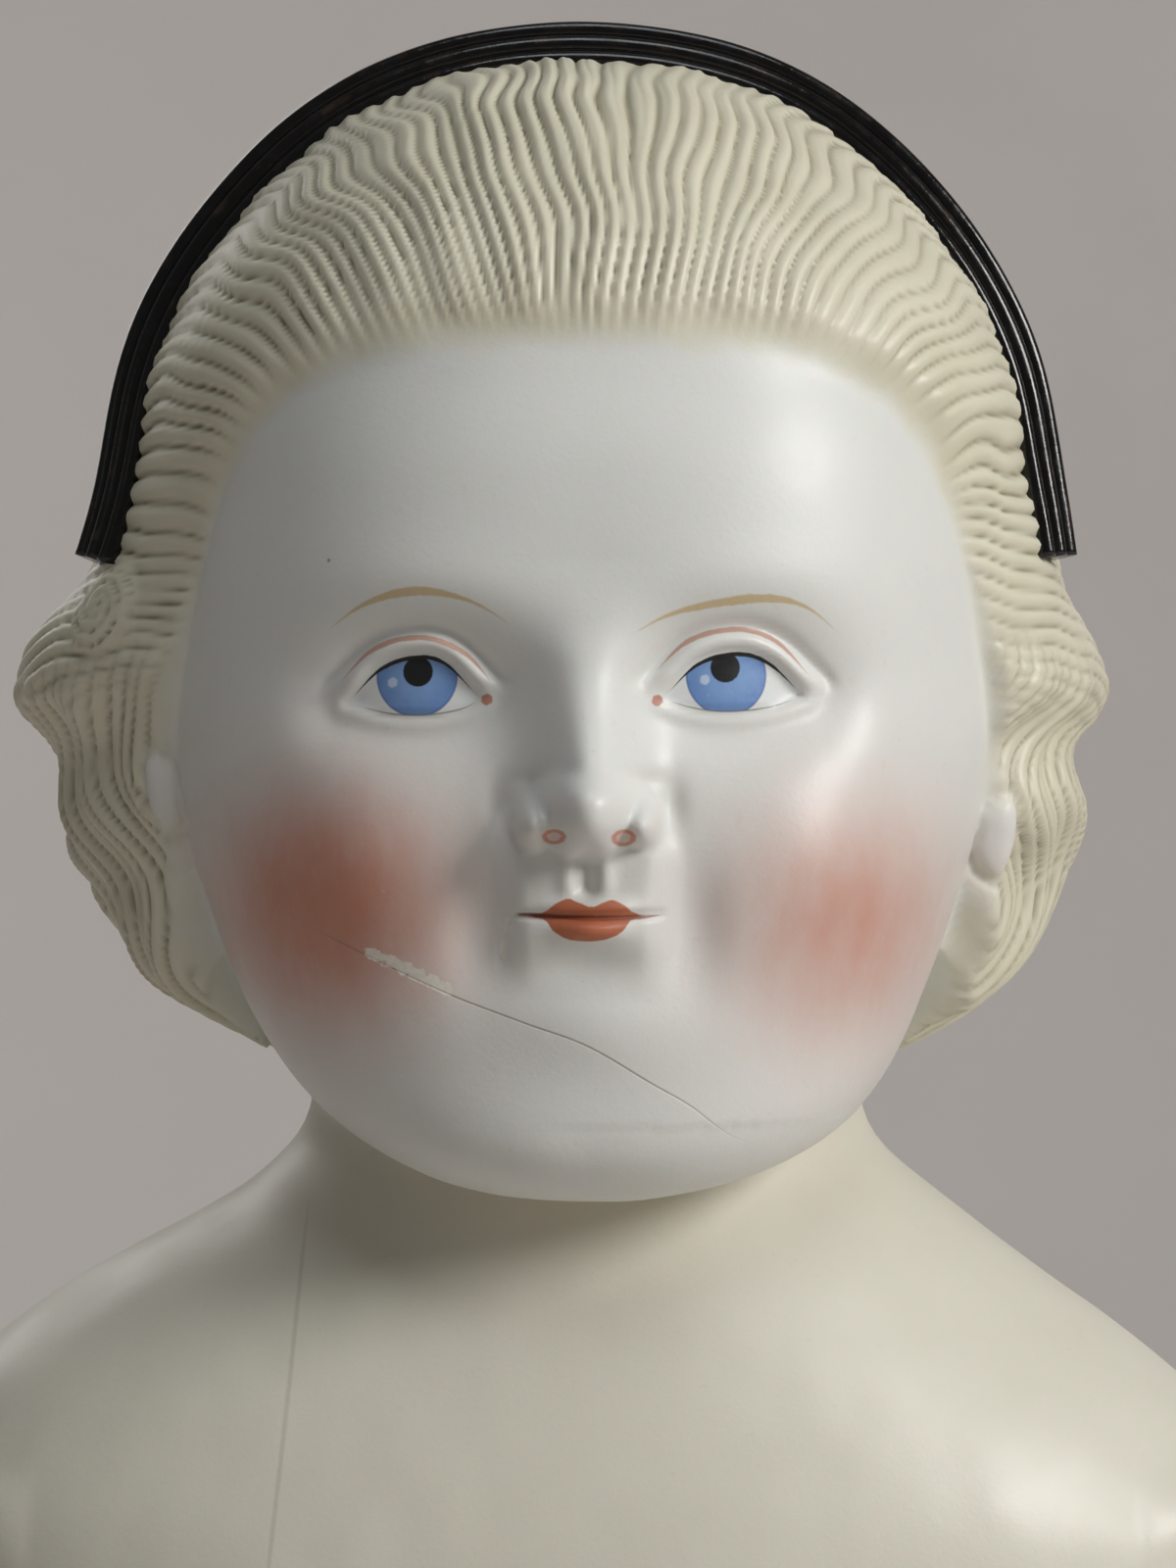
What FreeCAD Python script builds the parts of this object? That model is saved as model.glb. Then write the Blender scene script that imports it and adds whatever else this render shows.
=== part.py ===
"""Seated shoulder-head doll: a hollow bisque head and shoulder plate sewn to a sawdust-filled
cotton body, with cotton upper limbs and bisque forearms and lower legs tied in with thread.

Millimetres. The doll sits on z = 0 and faces -Y; +X is its left side. The origin is the centre of
the flat seat. Every sewn hinge is a seam cord that the parent piece is stitched to, with the child
piece folding round it.
"""

import FreeCAD, Part
import math
import os

V = FreeCAD.Vector

# ---- driving dimensions -------------------------------------------------------------------------
CROWN_Z = 316.0            # top of the hair
CHIN_Z = 206.0             # underside of the chin
PLATE_Z = 160.0            # lowest edge of the shoulder plate
BISQUE_WALL = 3.5
CLOTH = 0.8                # thickness of the cotton
SEAM_R = 1.3               # radius of a seam cord
SEAM_GAP = 0.35            # room between a seam cord and the piece that folds round it
LIMB_SEAM_GAP = 1.0        # the same at an elbow, a knee or the top of an arm, which fold further
SHOULDER_SEAM_R = 2.0      # the thicker cord that the whole arm swings on
FIT = 0.05                 # gap between a cloth skin and what fills it
SEAM_ALLOWANCE = 2.5       # cloth stitched flat, with no filling, at each end of a limb
STUB_ROOM = 0.25           # room for a bisque stub inside its sleeve

HIP = V(25.5, -30.0, 12.0)         # left hip seam, its middle
THIGH_LENGTH = 115.0
KNEE_DROP = 3.2                    # the knee seam lies this far in front of the hip seam's line
KNEE_TO_SOLE = 155.0
SHOULDER = V(66.0, 4.0, 156.0)     # left shoulder, where its two seams cross
UPPER_ARM_LENGTH = 80.0
ARM_OUT_DEG = 4.0                  # the arm hangs this far out from the body
ELBOW_BEND_DEG = 45.5              # and the elbow is bent this far, so the hand is on the ground
SEAT_BEND_DEG = -90.0              # the leg, built hanging, is laid forward by this much

BAND_WIDTH = 5.2
BAND_THICKNESS = 1.5
BAND_SINK = 0.5                    # how deep the band is let into the hair
BAND_Y = -2.0                      # the band's middle, front to back
BAND_END_Z = 265.0

NOSE = V(0.0, -44.0, 244.6)
EAR = V(48.0, -7.0, 242.0)          # left ear

SEW_HOLE_R = 1.75
KNOT_R, THREAD_R, THREAD_LENGTH = 2.2, 1.5, 6.2
SEW_X, SEW_Z = 24.0, 167.0
ARCH_R, ARCH_X, ARCH_Z = 24.0, 72.0, 153.0   # the plate's edge is arched over each arm

# Outlines: height, half width, front, back, and the roundness of the section (2 is an ellipse).
HEAD = [
    (206.5, 21.0, -30.0, 14.0, 2.1),
    (210.0, 27.0, -37.5, 22.0, 2.1),
    (216.0, 32.0, -42.0, 31.0, 2.2),
    (224.0, 40.0, -43.0, 42.0, 2.2),
    (232.0, 46.0, -43.5, 48.0, 2.3),
    (240.0, 49.0, -43.0, 51.0, 2.3),
    (252.0, 53.0, -41.5, 52.5, 2.2),
    (266.0, 49.0, -43.5, 52.0, 2.2),
    (280.0, 44.6, -43.0, 48.0, 2.1),
    (292.0, 38.6, -38.5, 41.0, 2.1),
    (302.0, 30.5, -31.0, 32.0, 2.0),
    (309.5, 21.0, -21.5, 22.0, 2.0),
    (314.3, 11.0, -11.0, 11.0, 2.0),
]
PLATE = [
    (158.0, 60.0, -39.5, 34.5, 2.3),
    (168.0, 66.0, -38.5, 34.0, 2.3),
    (178.0, 66.5, -36.5, 33.0, 2.3),
    (186.0, 59.5, -33.5, 31.0, 2.2),
    (193.0, 50.0, -30.0, 28.5, 2.1),
    (199.0, 41.0, -26.0, 26.0, 2.0),
    (205.0, 31.5, -22.0, 24.0, 2.0),
    (211.0, 25.5, -19.0, 23.0, 2.0),
    (220.0, 24.0, -17.0, 24.0, 2.0),
]
TORSO = [
    (0.0, 43.0, -19.0, 30.0, 2.8),
    (3.5, 49.5, -22.8, 36.0, 3.4),
    (12.0, 55.0, -29.2, 40.5, 5.0),
    (28.0, 54.5, -36.0, 41.5, 3.4),
    (52.0, 49.5, -37.0, 38.0, 2.6),
    (88.0, 43.0, -32.5, 32.0, 2.4),
    (118.0, 46.5, -32.0, 30.5, 2.4),
    (142.0, 51.5, -32.5, 29.5, 2.5),
    (156.0, 53.2, -32.2, 28.5, 2.5),
    (166.0, 50.5, -31.0, 27.5, 2.3),
    (176.0, 43.0, -27.0, 25.5, 2.2),
    (184.0, 32.0, -20.0, 20.0, 2.1),
    (189.0, 18.0, -11.0, 13.0, 2.0),
]
# Limbs are built hanging from their seam. Distance from the seam, half width, front, back, section.
THIGH = [
    (0.0, 15.0, -1.2, 1.2, 2.0),
    (7.0, 18.0, -6.2, 5.4, 2.1),
    (18.0, 20.0, -15.0, 10.0, 2.2),
    (36.0, 20.8, -26.0, 11.3, 2.2),
    (64.0, 20.2, -26.0, 11.3, 2.2),
    (90.0, 18.0, -21.5, 11.0, 2.2),
    (104.0, 16.5, -12.6, 5.2, 2.1),
    (111.0, 15.5, -6.4, -0.1, 2.1),
    (115.0, 14.0, -4.2, -2.2, 2.0),
]
CALF = [
    (0.0, 13.5, -1.0, 1.0, 2.0),
    (7.0, 14.8, -4.9, 4.9, 2.1),
    (18.0, 15.0, -12.6, 12.6, 2.2),
    (30.0, 14.6, -14.4, 14.4, 2.2),
    (42.0, 13.6, -13.6, 13.6, 2.0),
    (52.0, 13.2, -13.2, 13.2, 2.0),
]
UPPER_ARM = [
    (0.0, 1.0, -9.5, 9.5, 2.0),
    (6.0, 4.2, -11.0, 11.0, 2.1),
    (15.0, 10.0, -12.0, 12.0, 2.1),
    (36.0, 11.6, -12.2, 12.2, 2.2),
    (58.0, 10.8, -11.0, 11.0, 2.2),
    (70.0, 10.2, -7.2, 7.2, 2.1),
    (76.0, 9.6, -3.0, 3.0, 2.1),
    (80.0, 8.8, -1.0, 1.0, 2.0),
]
FOREARM_CLOTH = [
    (0.0, 8.6, -1.0, 1.0, 2.0),
    (5.0, 9.4, -3.6, 3.6, 2.1),
    (12.0, 10.0, -8.8, 8.8, 2.1),
    (20.0, 9.6, -9.6, 9.6, 2.0),
    (31.0, 9.3, -9.3, 9.3, 2.0),
]
# Bisque limb ends, from the round stub that the cotton is tied over, down to the sole or the knuckles.
LOWER_LEG = [
    (40.0, 11.6, -11.6, 11.6, 2.0),
    (48.0, 11.6, -11.6, 11.6, 2.0),
    (55.0, 11.8, -11.8, 11.8, 2.0),
    (58.5, 13.6, -13.6, 13.6, 2.0),
    (68.0, 14.3, -14.0, 14.8, 2.0),
    (84.0, 13.0, -12.6, 14.0, 2.0),
    (102.0, 9.8, -9.8, 10.2, 2.0),
    (118.0, 8.8, -9.2, 9.0, 2.0),
    (128.0, 9.0, -11.4, 9.6, 2.0),
    (136.0, 9.6, -19.0, 10.4, 2.1),
    (143.0, 10.2, -29.0, 10.8, 2.2),
    (148.0, 10.0, -33.0, 10.6, 2.2),
    (151.0, 9.2, -33.0, 9.8, 2.2),
]
FOREARM = [
    (19.0, 7.6, -7.6, 7.6, 2.0),
    (26.0, 7.6, -7.6, 7.6, 2.0),
    (33.0, 7.8, -7.8, 7.8, 2.0),
    (35.5, 9.2, -9.2, 9.2, 2.0),
    (44.0, 9.3, -9.4, 9.4, 2.0),
    (56.0, 7.8, -8.2, 8.2, 2.0),
    (68.0, 5.3, -6.0, 6.0, 2.0),
    (74.0, 4.8, -6.0, 5.8, 2.0),
    (82.0, 4.2, -7.6, 7.0, 2.2),
    (88.0, 3.6, -7.9, 7.1, 2.3),
    (92.0, 3.0, -7.4, 6.6, 2.3),
]


# ---- building blocks ----------------------------------------------------------------------------
def section(half_width, front, back, roundness, z, points=20):
    """A closed, smooth horizontal outline: a rounded oval from y = front to y = back."""
    middle, half_depth = (front + back) / 2, (back - front) / 2
    power = 2.0 / roundness
    outline = []
    for i in range(points):
        t = 2 * math.pi * i / points
        c, s = math.cos(t), math.sin(t)
        x = half_width * math.copysign(abs(c) ** power, c)
        y = middle + half_depth * math.copysign(abs(s) ** power, s)
        outline.append(V(x, y, z))
    curve = Part.BSplineCurve()
    curve.interpolate(Points=outline, PeriodicFlag=True)
    return Part.Wire([curve.toShape()])


def loft(rows, inset=0.0):
    """A solid through horizontal outlines; inset shrinks it on every side."""
    wires = []
    last = len(rows) - 1
    for i, (z, half_width, front, back, roundness) in enumerate(rows):
        z += inset if i == 0 else -inset if i == last else 0.0
        wires.append(section(half_width - inset, front + inset, back - inset, roundness, z))
    return Part.makeLoft(wires, True, False)


def hang(rows, inset=0.0, start=0.0, stop=None):
    """A limb hanging from z = 0, whose rows hold the distance down, cut off at start and stop."""
    thinnest = 0.3  # half depth that an inset outline keeps near a seam
    wires = []
    for s, half_width, front, back, roundness in reversed(rows):
        d = min(inset, (back - front) / 2 - thinnest)
        half_width -= min(inset, half_width - thinnest)
        wires.append(section(half_width, front + d, back - d, roundness, -s))
    limb = Part.makeLoft(wires, True, False)
    if start or stop:
        stop = stop or rows[-1][0]
        limb = limb.common(Part.makeBox(200, 200, stop - start, V(-100, -100, -stop)))
    return limb


def solid_of(shape):
    """The one solid in a shape, with the same outside facing."""
    found = shape.Solids[0]
    if found.Volume < 0:
        found.reverse()
    return found


def rod(radius, start, end):
    return Part.makeCylinder(radius, (end - start).Length, start, end - start)


def cord(radius, middle, direction, length):
    """A straight seam cord, or the hole for one, centred on a point."""
    half = V(direction) * (length / 2)
    return rod(radius, middle - half, middle + half)


def winding(radius, s, turns=3, thread_r=0.7):
    """Turns of thread, side by side, round a limb of that radius, as one ribbed ring."""
    pitch = thread_r * 1.7
    rings = []
    for i in range(turns):
        rings.append(Part.makeTorus(radius + thread_r, thread_r, V(0, 0, -s - i * pitch), V(0, 0, 1)))
    core = (turns - 1) * pitch
    outer = Part.makeCylinder(radius + thread_r, core, V(0, 0, -s - core))
    clear = 2 * thread_r
    inner = Part.makeCylinder(radius + FIT, core + 2 * clear, V(0, 0, -s - core - clear))
    return solid_of(outer.fuse(rings).removeSplitter().cut(inner))


def mirrored(shape):
    return shape.mirror(V(0, 0, 0), V(1, 0, 0))


# ---- the head and shoulder plate ----------------------------------------------------------------
def crowned(rows, inset):
    """The head's loft with its top closed by a dome."""
    wires = [section(w - inset, f + inset, b - inset, r, z) for z, w, f, b, r in rows[:-1]]
    z, half_width, front, back, roundness = rows[-1]
    d = inset * 0.9  # the dome's shoulder is slanted, so it moves in a little less
    wires.append(section(half_width - d, front + d, back - d, roundness, z - inset))
    tip = Part.Vertex(V(0, 0, CROWN_Z - inset))
    return Part.makeLoft(wires + [tip], True, False)


def egg(half_width, half_depth, half_height, centre, lean_deg=0.0):
    """An ellipsoid, leaned about the X axis."""
    stretch = FreeCAD.Matrix()
    stretch.scale(V(half_width, half_depth, half_height))
    shape = Part.makeSphere(1.0).transformGeometry(stretch)
    shape.rotate(V(0, 0, 0), V(1, 0, 0), lean_deg)
    shape.translate(centre)
    return shape


def face_and_ears():
    """The moulded nose, its wings and the ears."""
    moulded = [egg(4.8, 7.6, 9.6, NOSE, -16.0)]
    for side in (-1, 1):
        moulded.append(egg(3.4, 4.6, 3.0, NOSE + V(side * 4.3, 1.2, -3.6)))
        moulded.append(egg(3.2, 5.0, 8.0, V(side * EAR.x, EAR.y, EAR.z), 10.0))
    return moulded


def shoulder_head():
    """Head and shoulder plate in one hollow shell, with sew holes and an arch over each arm."""
    solid = crowned(HEAD, 0.0).fuse([loft(PLATE)] + face_and_ears()).removeSplitter()
    inner_head = crowned([r for r in HEAD if r[0] > 212], BISQUE_WALL)
    inner_plate = loft([(PLATE_Z - 4,) + PLATE[0][1:]] + PLATE[1:], BISQUE_WALL)
    shell = solid.cut(inner_head).cut(inner_plate)
    shell = shell.cut(Part.makeBox(200, 200, 10, V(-100, -100, PLATE_Z - 10)))
    for side in (-1, 1):
        arch = cord(ARCH_R, V(side * ARCH_X, 0, ARCH_Z), V(0, 1, 0), 120)
        hole = cord(SEW_HOLE_R, V(side * SEW_X, 0, SEW_Z), V(0, 1, 0), 120)
        shell = shell.cut(arch).cut(hole)
    shell = shell.cut(band_blank(BAND_WIDTH + 2 * FIT, -BAND_SINK))
    return solid_of(shell)


def coronal_edge(offset):
    """The head's outline seen from the front, grown by offset, from one band end over the crown."""
    right = [V(w, 0, z) for z, w, *_ in reversed(HEAD) if z > BAND_END_Z - 12]
    outline = [V(-p.x, 0, p.z) for p in reversed(right)] + [V(0, 0, CROWN_Z)] + right
    grown = []
    for i, point in enumerate(outline):
        run = outline[min(i + 1, len(outline) - 1)] - outline[max(i - 1, 0)]
        grown.append(point + V(-run.z, 0, run.x).normalize() * offset)
    curve = Part.BSplineCurve()
    curve.interpolate(grown)
    return curve.toShape()


def band_blank(width, inner_offset, outer_offset=BAND_THICKNESS):
    """The strip between two offsets of the head's front outline, width deep, cut off at its ends."""
    outer, inner = coronal_edge(outer_offset), coronal_edge(inner_offset)
    first = Part.makeLine(outer.Vertexes[0].Point, inner.Vertexes[0].Point)
    last = Part.makeLine(outer.Vertexes[-1].Point, inner.Vertexes[-1].Point)
    strip = Part.Face(Part.Wire(Part.sortEdges([outer, first, inner, last])[0]))
    strip.translate(V(0, BAND_Y - width / 2, 0))
    below_ends = Part.makeBox(200, 200, 60, V(-100, -100, BAND_END_Z - 60))
    return strip.extrude(V(0, width, 0)).cut(below_ends)


def hair_band():
    """The applied strip over the crown, with two grooves that leave three beads."""
    band = band_blank(BAND_WIDTH, FIT - BAND_SINK)
    groove_width, groove_depth = 0.6, 0.45
    for offset in (-BAND_WIDTH / 6, BAND_WIDTH / 6):
        groove = band_blank(groove_width, BAND_THICKNESS - groove_depth, BAND_THICKNESS + 1)
        groove.translate(V(0, offset, 0))
        band = band.cut(groove)
    return solid_of(band)


def shoulder_stitches():
    """A knotted thread through each sew hole, front and back."""
    knots = []
    for x in (-SEW_X, SEW_X):
        middle, half = plate_depth_at(x)
        for side in (-1, 1):
            start = V(x, middle + side * (half + KNOT_R * 0.85), SEW_Z)
            thread = rod(THREAD_R, start, start - V(0, side * THREAD_LENGTH, 0))
            knots.append(solid_of(thread.fuse(Part.makeSphere(KNOT_R, start))))
    return Part.makeCompound(knots)


def plate_row(z):
    """The plate's outline, interpolated at a height."""
    for low, high in zip(PLATE, PLATE[1:]):
        if low[0] <= z <= high[0]:
            t = (z - low[0]) / (high[0] - low[0])
            return [p + (q - p) * t for p, q in zip(low, high)]
    raise ValueError(z)


def plate_depth_at(x):
    _, half_width, front, back, roundness = plate_row(SEW_Z)
    share = (1 - (abs(x) / half_width) ** roundness) ** (1 / roundness)
    return (front + back) / 2, share * (back - front) / 2


# ---- the stuffed body ---------------------------------------------------------------------------
def body_openings():
    """Holes that the body's own seam cords are stitched into."""
    holes = []
    for side in (-1, 1):
        hip = V(side * HIP.x, HIP.y, HIP.z)
        holes.append(cord(SEAM_R + FIT, hip, V(1, 0, 0), 60))
        inner, outer = V(side * 44, SHOULDER.y, SHOULDER.z), V(side * 90, SHOULDER.y, SHOULDER.z)
        holes.append(rod(SHOULDER_SEAM_R + FIT, inner, outer))
    return holes


def torso_cover():
    skin = loft(TORSO).cut(loft(TORSO, CLOTH))
    for hole in body_openings():
        skin = skin.cut(hole)
    return solid_of(skin)


def torso_stuffing():
    fill = loft(TORSO, CLOTH + FIT)
    for hole in body_openings():
        fill = fill.cut(hole)
    return solid_of(fill)


def skin(rows, stub=None):
    """A limb's cotton sleeve. It is solid cloth for SEAM_ALLOWANCE at a seam, and open over a stub."""
    length = rows[-1][0]
    inner = hang(rows, CLOTH, SEAM_ALLOWANCE, None if stub else length - SEAM_ALLOWANCE)
    sleeve = hang(rows).cut(inner)
    if stub:
        top, radius = stub[0][0], stub[1][1] + STUB_ROOM
        sleeve = sleeve.cut(rod(radius, V(0, 0, -top), V(0, 0, -length - 1)))
    return sleeve


def folded_on(sleeve, axis, gap=SEAM_GAP):
    """Clears the seam cord at the sleeve's upper end, which the sleeve turns about."""
    return solid_of(sleeve.cut(cord(SEAM_R + gap, V(0, 0, 0), axis, 80)))


def filling(rows, stub=None):
    """The sawdust inside a sleeve, down to the bisque stub or to the next seam."""
    stop = stub[0][0] - FIT if stub else rows[-1][0] - SEAM_ALLOWANCE - FIT
    return solid_of(hang(rows, CLOTH + FIT, SEAM_ALLOWANCE + FIT, stop))


# ---- legs, in the hanging position from the hip seam -------------------------------------------
KNEE = V(0, -KNEE_DROP, -THIGH_LENGTH)


def bisque_lower_leg():
    """Calf with a stub above it, and a heeled boot below."""
    leg = hang(LOWER_LEG)
    sole_z, heel_depth = -LOWER_LEG[-1][0], KNEE_TO_SOLE - LOWER_LEG[-1][0]
    heel = Part.makeCylinder(7.0, heel_depth + 1, V(0, 3.4, sole_z - heel_depth))
    heel = heel.common(Part.makeBox(40, 12, 40, V(-20, -2.5, sole_z - 20)))
    return solid_of(leg.fuse(heel).removeSplitter())


def leg_parts():
    """{node: shape} of one leg below its hip seam, hanging."""
    across = V(1, 0, 0)
    thigh_sleeve = skin(THIGH).cut(cord(SEAM_R + FIT, KNEE, across, 80))
    thigh = {
        "thigh_cover": folded_on(thigh_sleeve, across),
        "thigh_stuffing": filling(THIGH),
        "knee_seam": cord(SEAM_R, KNEE, across, 27),
    }
    calf = {
        "calf_cover": folded_on(skin(CALF, LOWER_LEG), across, LIMB_SEAM_GAP),
        "calf_stuffing": filling(CALF, LOWER_LEG),
        "bisque_lower_leg": bisque_lower_leg(),
        "leg_binding": winding(13.5, 46.0),
    }
    for shape in calf.values():
        shape.translate(KNEE)
    return {**thigh, **calf}


# ---- arms, in the hanging position from the shoulder -------------------------------------------
ELBOW = V(0, 0, -UPPER_ARM_LENGTH)


def bisque_forearm():
    """Forearm with a stub above it, and a hand with four fingers and a thumb."""
    pieces = []
    fingers = [(-5.7, 10.5), (-2.2, 13.0), (1.4, 12.4), (4.8, 9.6)]
    for y, length in fingers:
        pieces += digit(V(0, y, -88), V(0.4, y * 1.08, -91 - length), 1.75)
    pieces += digit(V(-1.0, -5.6, -78), V(-2.6, -12.2, -89), 2.0)
    return solid_of(hang(FOREARM).fuse(pieces).removeSplitter())


def digit(base, tip, radius):
    return [rod(radius, base, tip), Part.makeSphere(radius, tip)]


def bend_elbow(shape):
    """Turns a forearm piece from hanging to its rest bend."""
    shape.rotate(V(0, 0, 0), V(1, 0, 0), -ELBOW_BEND_DEG)
    shape.translate(ELBOW)
    return shape


def arm_parts():
    """{node: shape} of one arm below its shoulder, with the elbow bent."""
    across, front_to_back = V(1, 0, 0), V(0, 1, 0)
    upper_sleeve = skin(UPPER_ARM).cut(cord(SEAM_R + FIT, ELBOW, across, 80))
    upper = {
        "upper_arm_cover": folded_on(upper_sleeve, front_to_back, LIMB_SEAM_GAP),
        "upper_arm_stuffing": filling(UPPER_ARM),
        "elbow_seam": cord(SEAM_R, ELBOW, across, 17),
    }
    lower = {
        "forearm_cover": folded_on(skin(FOREARM_CLOTH, FOREARM), across, LIMB_SEAM_GAP),
        "forearm_stuffing": filling(FOREARM_CLOTH, FOREARM),
        "bisque_forearm": bisque_forearm(),
        "arm_binding": winding(9.5, 25.0),
    }
    return {**upper, **{name: bend_elbow(shape) for name, shape in lower.items()}}


def shoulder_gusset():
    """The cotton tab between the two shoulder seams: it swings on one and carries the other."""
    inner_x, outer_x = 53.8 - SHOULDER.x, 0.0
    rows = [(inner_x, 5.0, 9.0), (inner_x / 2, 3.3, 9.6), (outer_x, 0.9, 9.5)]
    wires = []
    for x, half_height, half_depth in rows:
        wire = section(half_height, -half_depth, half_depth, 2.2, 0)
        wire.rotate(V(0, 0, 0), V(0, 1, 0), 90)
        wire.translate(V(x, 0, 0))
        wires.append(wire)
    tab = Part.makeLoft(wires, True, False)
    tab = tab.cut(cord(SEAM_R + FIT, V(0, 0, 0), V(0, 1, 0), 30))
    tab = tab.cut(rod(SHOULDER_SEAM_R + SEAM_GAP, V(-40, 0, 0), V(-6.0, 0, 0)))
    return solid_of(tab)


# ---- the whole doll -----------------------------------------------------------------------------
def seat_leg(shape):
    """Lays a hanging leg forward and carries it to the left hip."""
    shape.rotate(V(0, 0, 0), V(1, 0, 0), SEAT_BEND_DEG)
    shape.translate(HIP)
    return shape


def hang_arm(shape):
    """Tilts a hanging arm outward and carries it to the left shoulder."""
    shape.rotate(V(0, 0, 0), V(0, 1, 0), -ARM_OUT_DEG)
    shape.translate(SHOULDER)
    return shape


def left_pieces():
    """{node: shape} of everything on the left side that the right side mirrors."""
    pieces = {name: seat_leg(shape) for name, shape in leg_parts().items()}
    pieces.update({name: hang_arm(shape) for name, shape in arm_parts().items()})
    pieces["hip_seam"] = cord(SEAM_R, HIP, V(1, 0, 0), 30)
    gusset = shoulder_gusset()
    gusset.translate(SHOULDER)
    pieces["shoulder_gusset"] = gusset
    inner, outer = V(44.0 + FIT, SHOULDER.y, SHOULDER.z), V(SHOULDER.x - 6.6, SHOULDER.y, SHOULDER.z)
    pieces["shoulder_seam"] = rod(SHOULDER_SEAM_R, inner, outer)
    pieces["shoulder_spread_seam"] = cord(SEAM_R, SHOULDER, V(0, 1, 0), 19)
    return pieces


def main():
    os.makedirs("parts", exist_ok=True)
    nodes = {
        "shoulder_head": shoulder_head(),
        "hair_band": hair_band(),
        "shoulder_stitches": shoulder_stitches(),
        "torso_cover": torso_cover(),
        "torso_stuffing": torso_stuffing(),
    }
    for name, shape in left_pieces().items():
        nodes[name + "_left"] = shape
        nodes[name + "_right"] = mirrored(shape)
    for name, shape in nodes.items():
        shape.exportStep(f"parts/{name}.step")
        print(f"{name:26s} solids {len(shape.Solids)} valid {shape.isValid()} volume {shape.Volume:.0f}")


main()
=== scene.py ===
"""Looks for the seated shoulder-head doll: painted bisque head, glazed hair band, stuffed cotton body.

Shapes are worked out in millimetres, in the CAD frame (+Z up, the face looks along -Y), and turned
into metres as each mesh is made.
"""

import math

import bpy
import numpy as np
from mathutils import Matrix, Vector
from mathutils.bvhtree import BVHTree


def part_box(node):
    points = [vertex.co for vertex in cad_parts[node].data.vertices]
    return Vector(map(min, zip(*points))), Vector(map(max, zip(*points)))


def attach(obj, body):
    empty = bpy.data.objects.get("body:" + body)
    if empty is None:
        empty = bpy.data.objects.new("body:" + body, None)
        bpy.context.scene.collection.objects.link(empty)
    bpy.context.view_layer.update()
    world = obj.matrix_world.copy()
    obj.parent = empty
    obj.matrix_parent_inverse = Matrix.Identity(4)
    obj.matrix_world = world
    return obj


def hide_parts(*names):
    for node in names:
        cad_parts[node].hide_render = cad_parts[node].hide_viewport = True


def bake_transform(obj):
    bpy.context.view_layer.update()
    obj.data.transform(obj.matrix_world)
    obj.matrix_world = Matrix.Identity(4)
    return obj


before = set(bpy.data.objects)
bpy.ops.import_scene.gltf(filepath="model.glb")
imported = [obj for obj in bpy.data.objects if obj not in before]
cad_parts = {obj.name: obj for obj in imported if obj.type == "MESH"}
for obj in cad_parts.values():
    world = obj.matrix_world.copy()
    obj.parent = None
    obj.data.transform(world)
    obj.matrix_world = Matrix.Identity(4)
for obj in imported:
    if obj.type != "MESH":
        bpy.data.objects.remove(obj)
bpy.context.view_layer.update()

MM = 0.001
SIDES = (("left", 1), ("right", -1))
rng = np.random.default_rng(7)


# ---- camera, floor and light --------------------------------------------------------------------
EYE_LEVEL = 243.0        # height of the camera
FACE_Y = -40.0           # depth of the eyes, which the camera is focused on
CAMERA_DISTANCE = 320.0  # from the eyes
CAMERA_TURN = math.radians(-1.0)
VIEW_HEIGHT = 133.3      # what the frame takes in at the eyes, top to bottom


def add_camera():
    data = bpy.data.cameras.new("camera")
    data.sensor_fit = "VERTICAL"
    data.sensor_height = 36.0
    data.lens = 36.0 * CAMERA_DISTANCE / VIEW_HEIGHT
    data.clip_start, data.clip_end = 0.01, 20.0
    camera = bpy.data.objects.new("camera", data)
    away = Vector((math.sin(CAMERA_TURN), -math.cos(CAMERA_TURN), 0.0)) * CAMERA_DISTANCE
    camera.location = (Vector((0.0, FACE_Y, EYE_LEVEL)) + away) * MM
    camera.rotation_euler = (math.radians(90), 0.0, CAMERA_TURN)
    bpy.context.scene.collection.objects.link(camera)
    bpy.context.scene.camera = camera


def area_light(name, at, aim, size, power, colour):
    data = bpy.data.lights.new(name, "AREA")
    data.shape = "DISK"
    data.size, data.energy, data.color = size, power, colour
    light = bpy.data.objects.new(name, data)
    light.location = at
    light.rotation_euler = (Vector(aim) - Vector(at)).to_track_quat("-Z", "Y").to_euler()
    bpy.context.scene.collection.objects.link(light)


def add_lights():
    head = (0.0, 0.0, 0.25)
    area_light("key", (0.93, -0.58, 0.76), head, 0.5, 9.6, (1.0, 0.99, 0.97))
    area_light("top", (0.1, -0.55, 1.30), head, 0.6, 3.2, (0.93, 0.97, 1.0))
    area_light("fill", (-0.9, -1.0, 0.25), head, 0.9, 0.4, (1.0, 0.96, 0.92))
    area_light("rim", (-0.5, 0.9, 0.7), head, 0.6, 1.5, (1.0, 0.98, 0.95))
    world = bpy.data.worlds.new("studio")
    world.use_nodes = True
    world.node_tree.nodes["Background"].inputs["Color"].default_value = (0.72, 0.70, 0.69, 1.0)
    world.node_tree.nodes["Background"].inputs["Strength"].default_value = 0.14
    bpy.context.scene.world = world
    bpy.context.scene.view_settings.view_transform = "Standard"


# ---- smooth numbers -----------------------------------------------------------------------------
def ramp(value, low, high):
    """0 below low, 1 above high, smooth between; low may be the larger."""
    t = np.clip((value - low) / (high - low), 0.0, 1.0)
    return t * t * (3.0 - 2.0 * t)


def bump(x, z, cx, cz, rx, rz):
    return np.exp(-(((x - cx) / rx) ** 2) - ((z - cz) / rz) ** 2)


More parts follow.
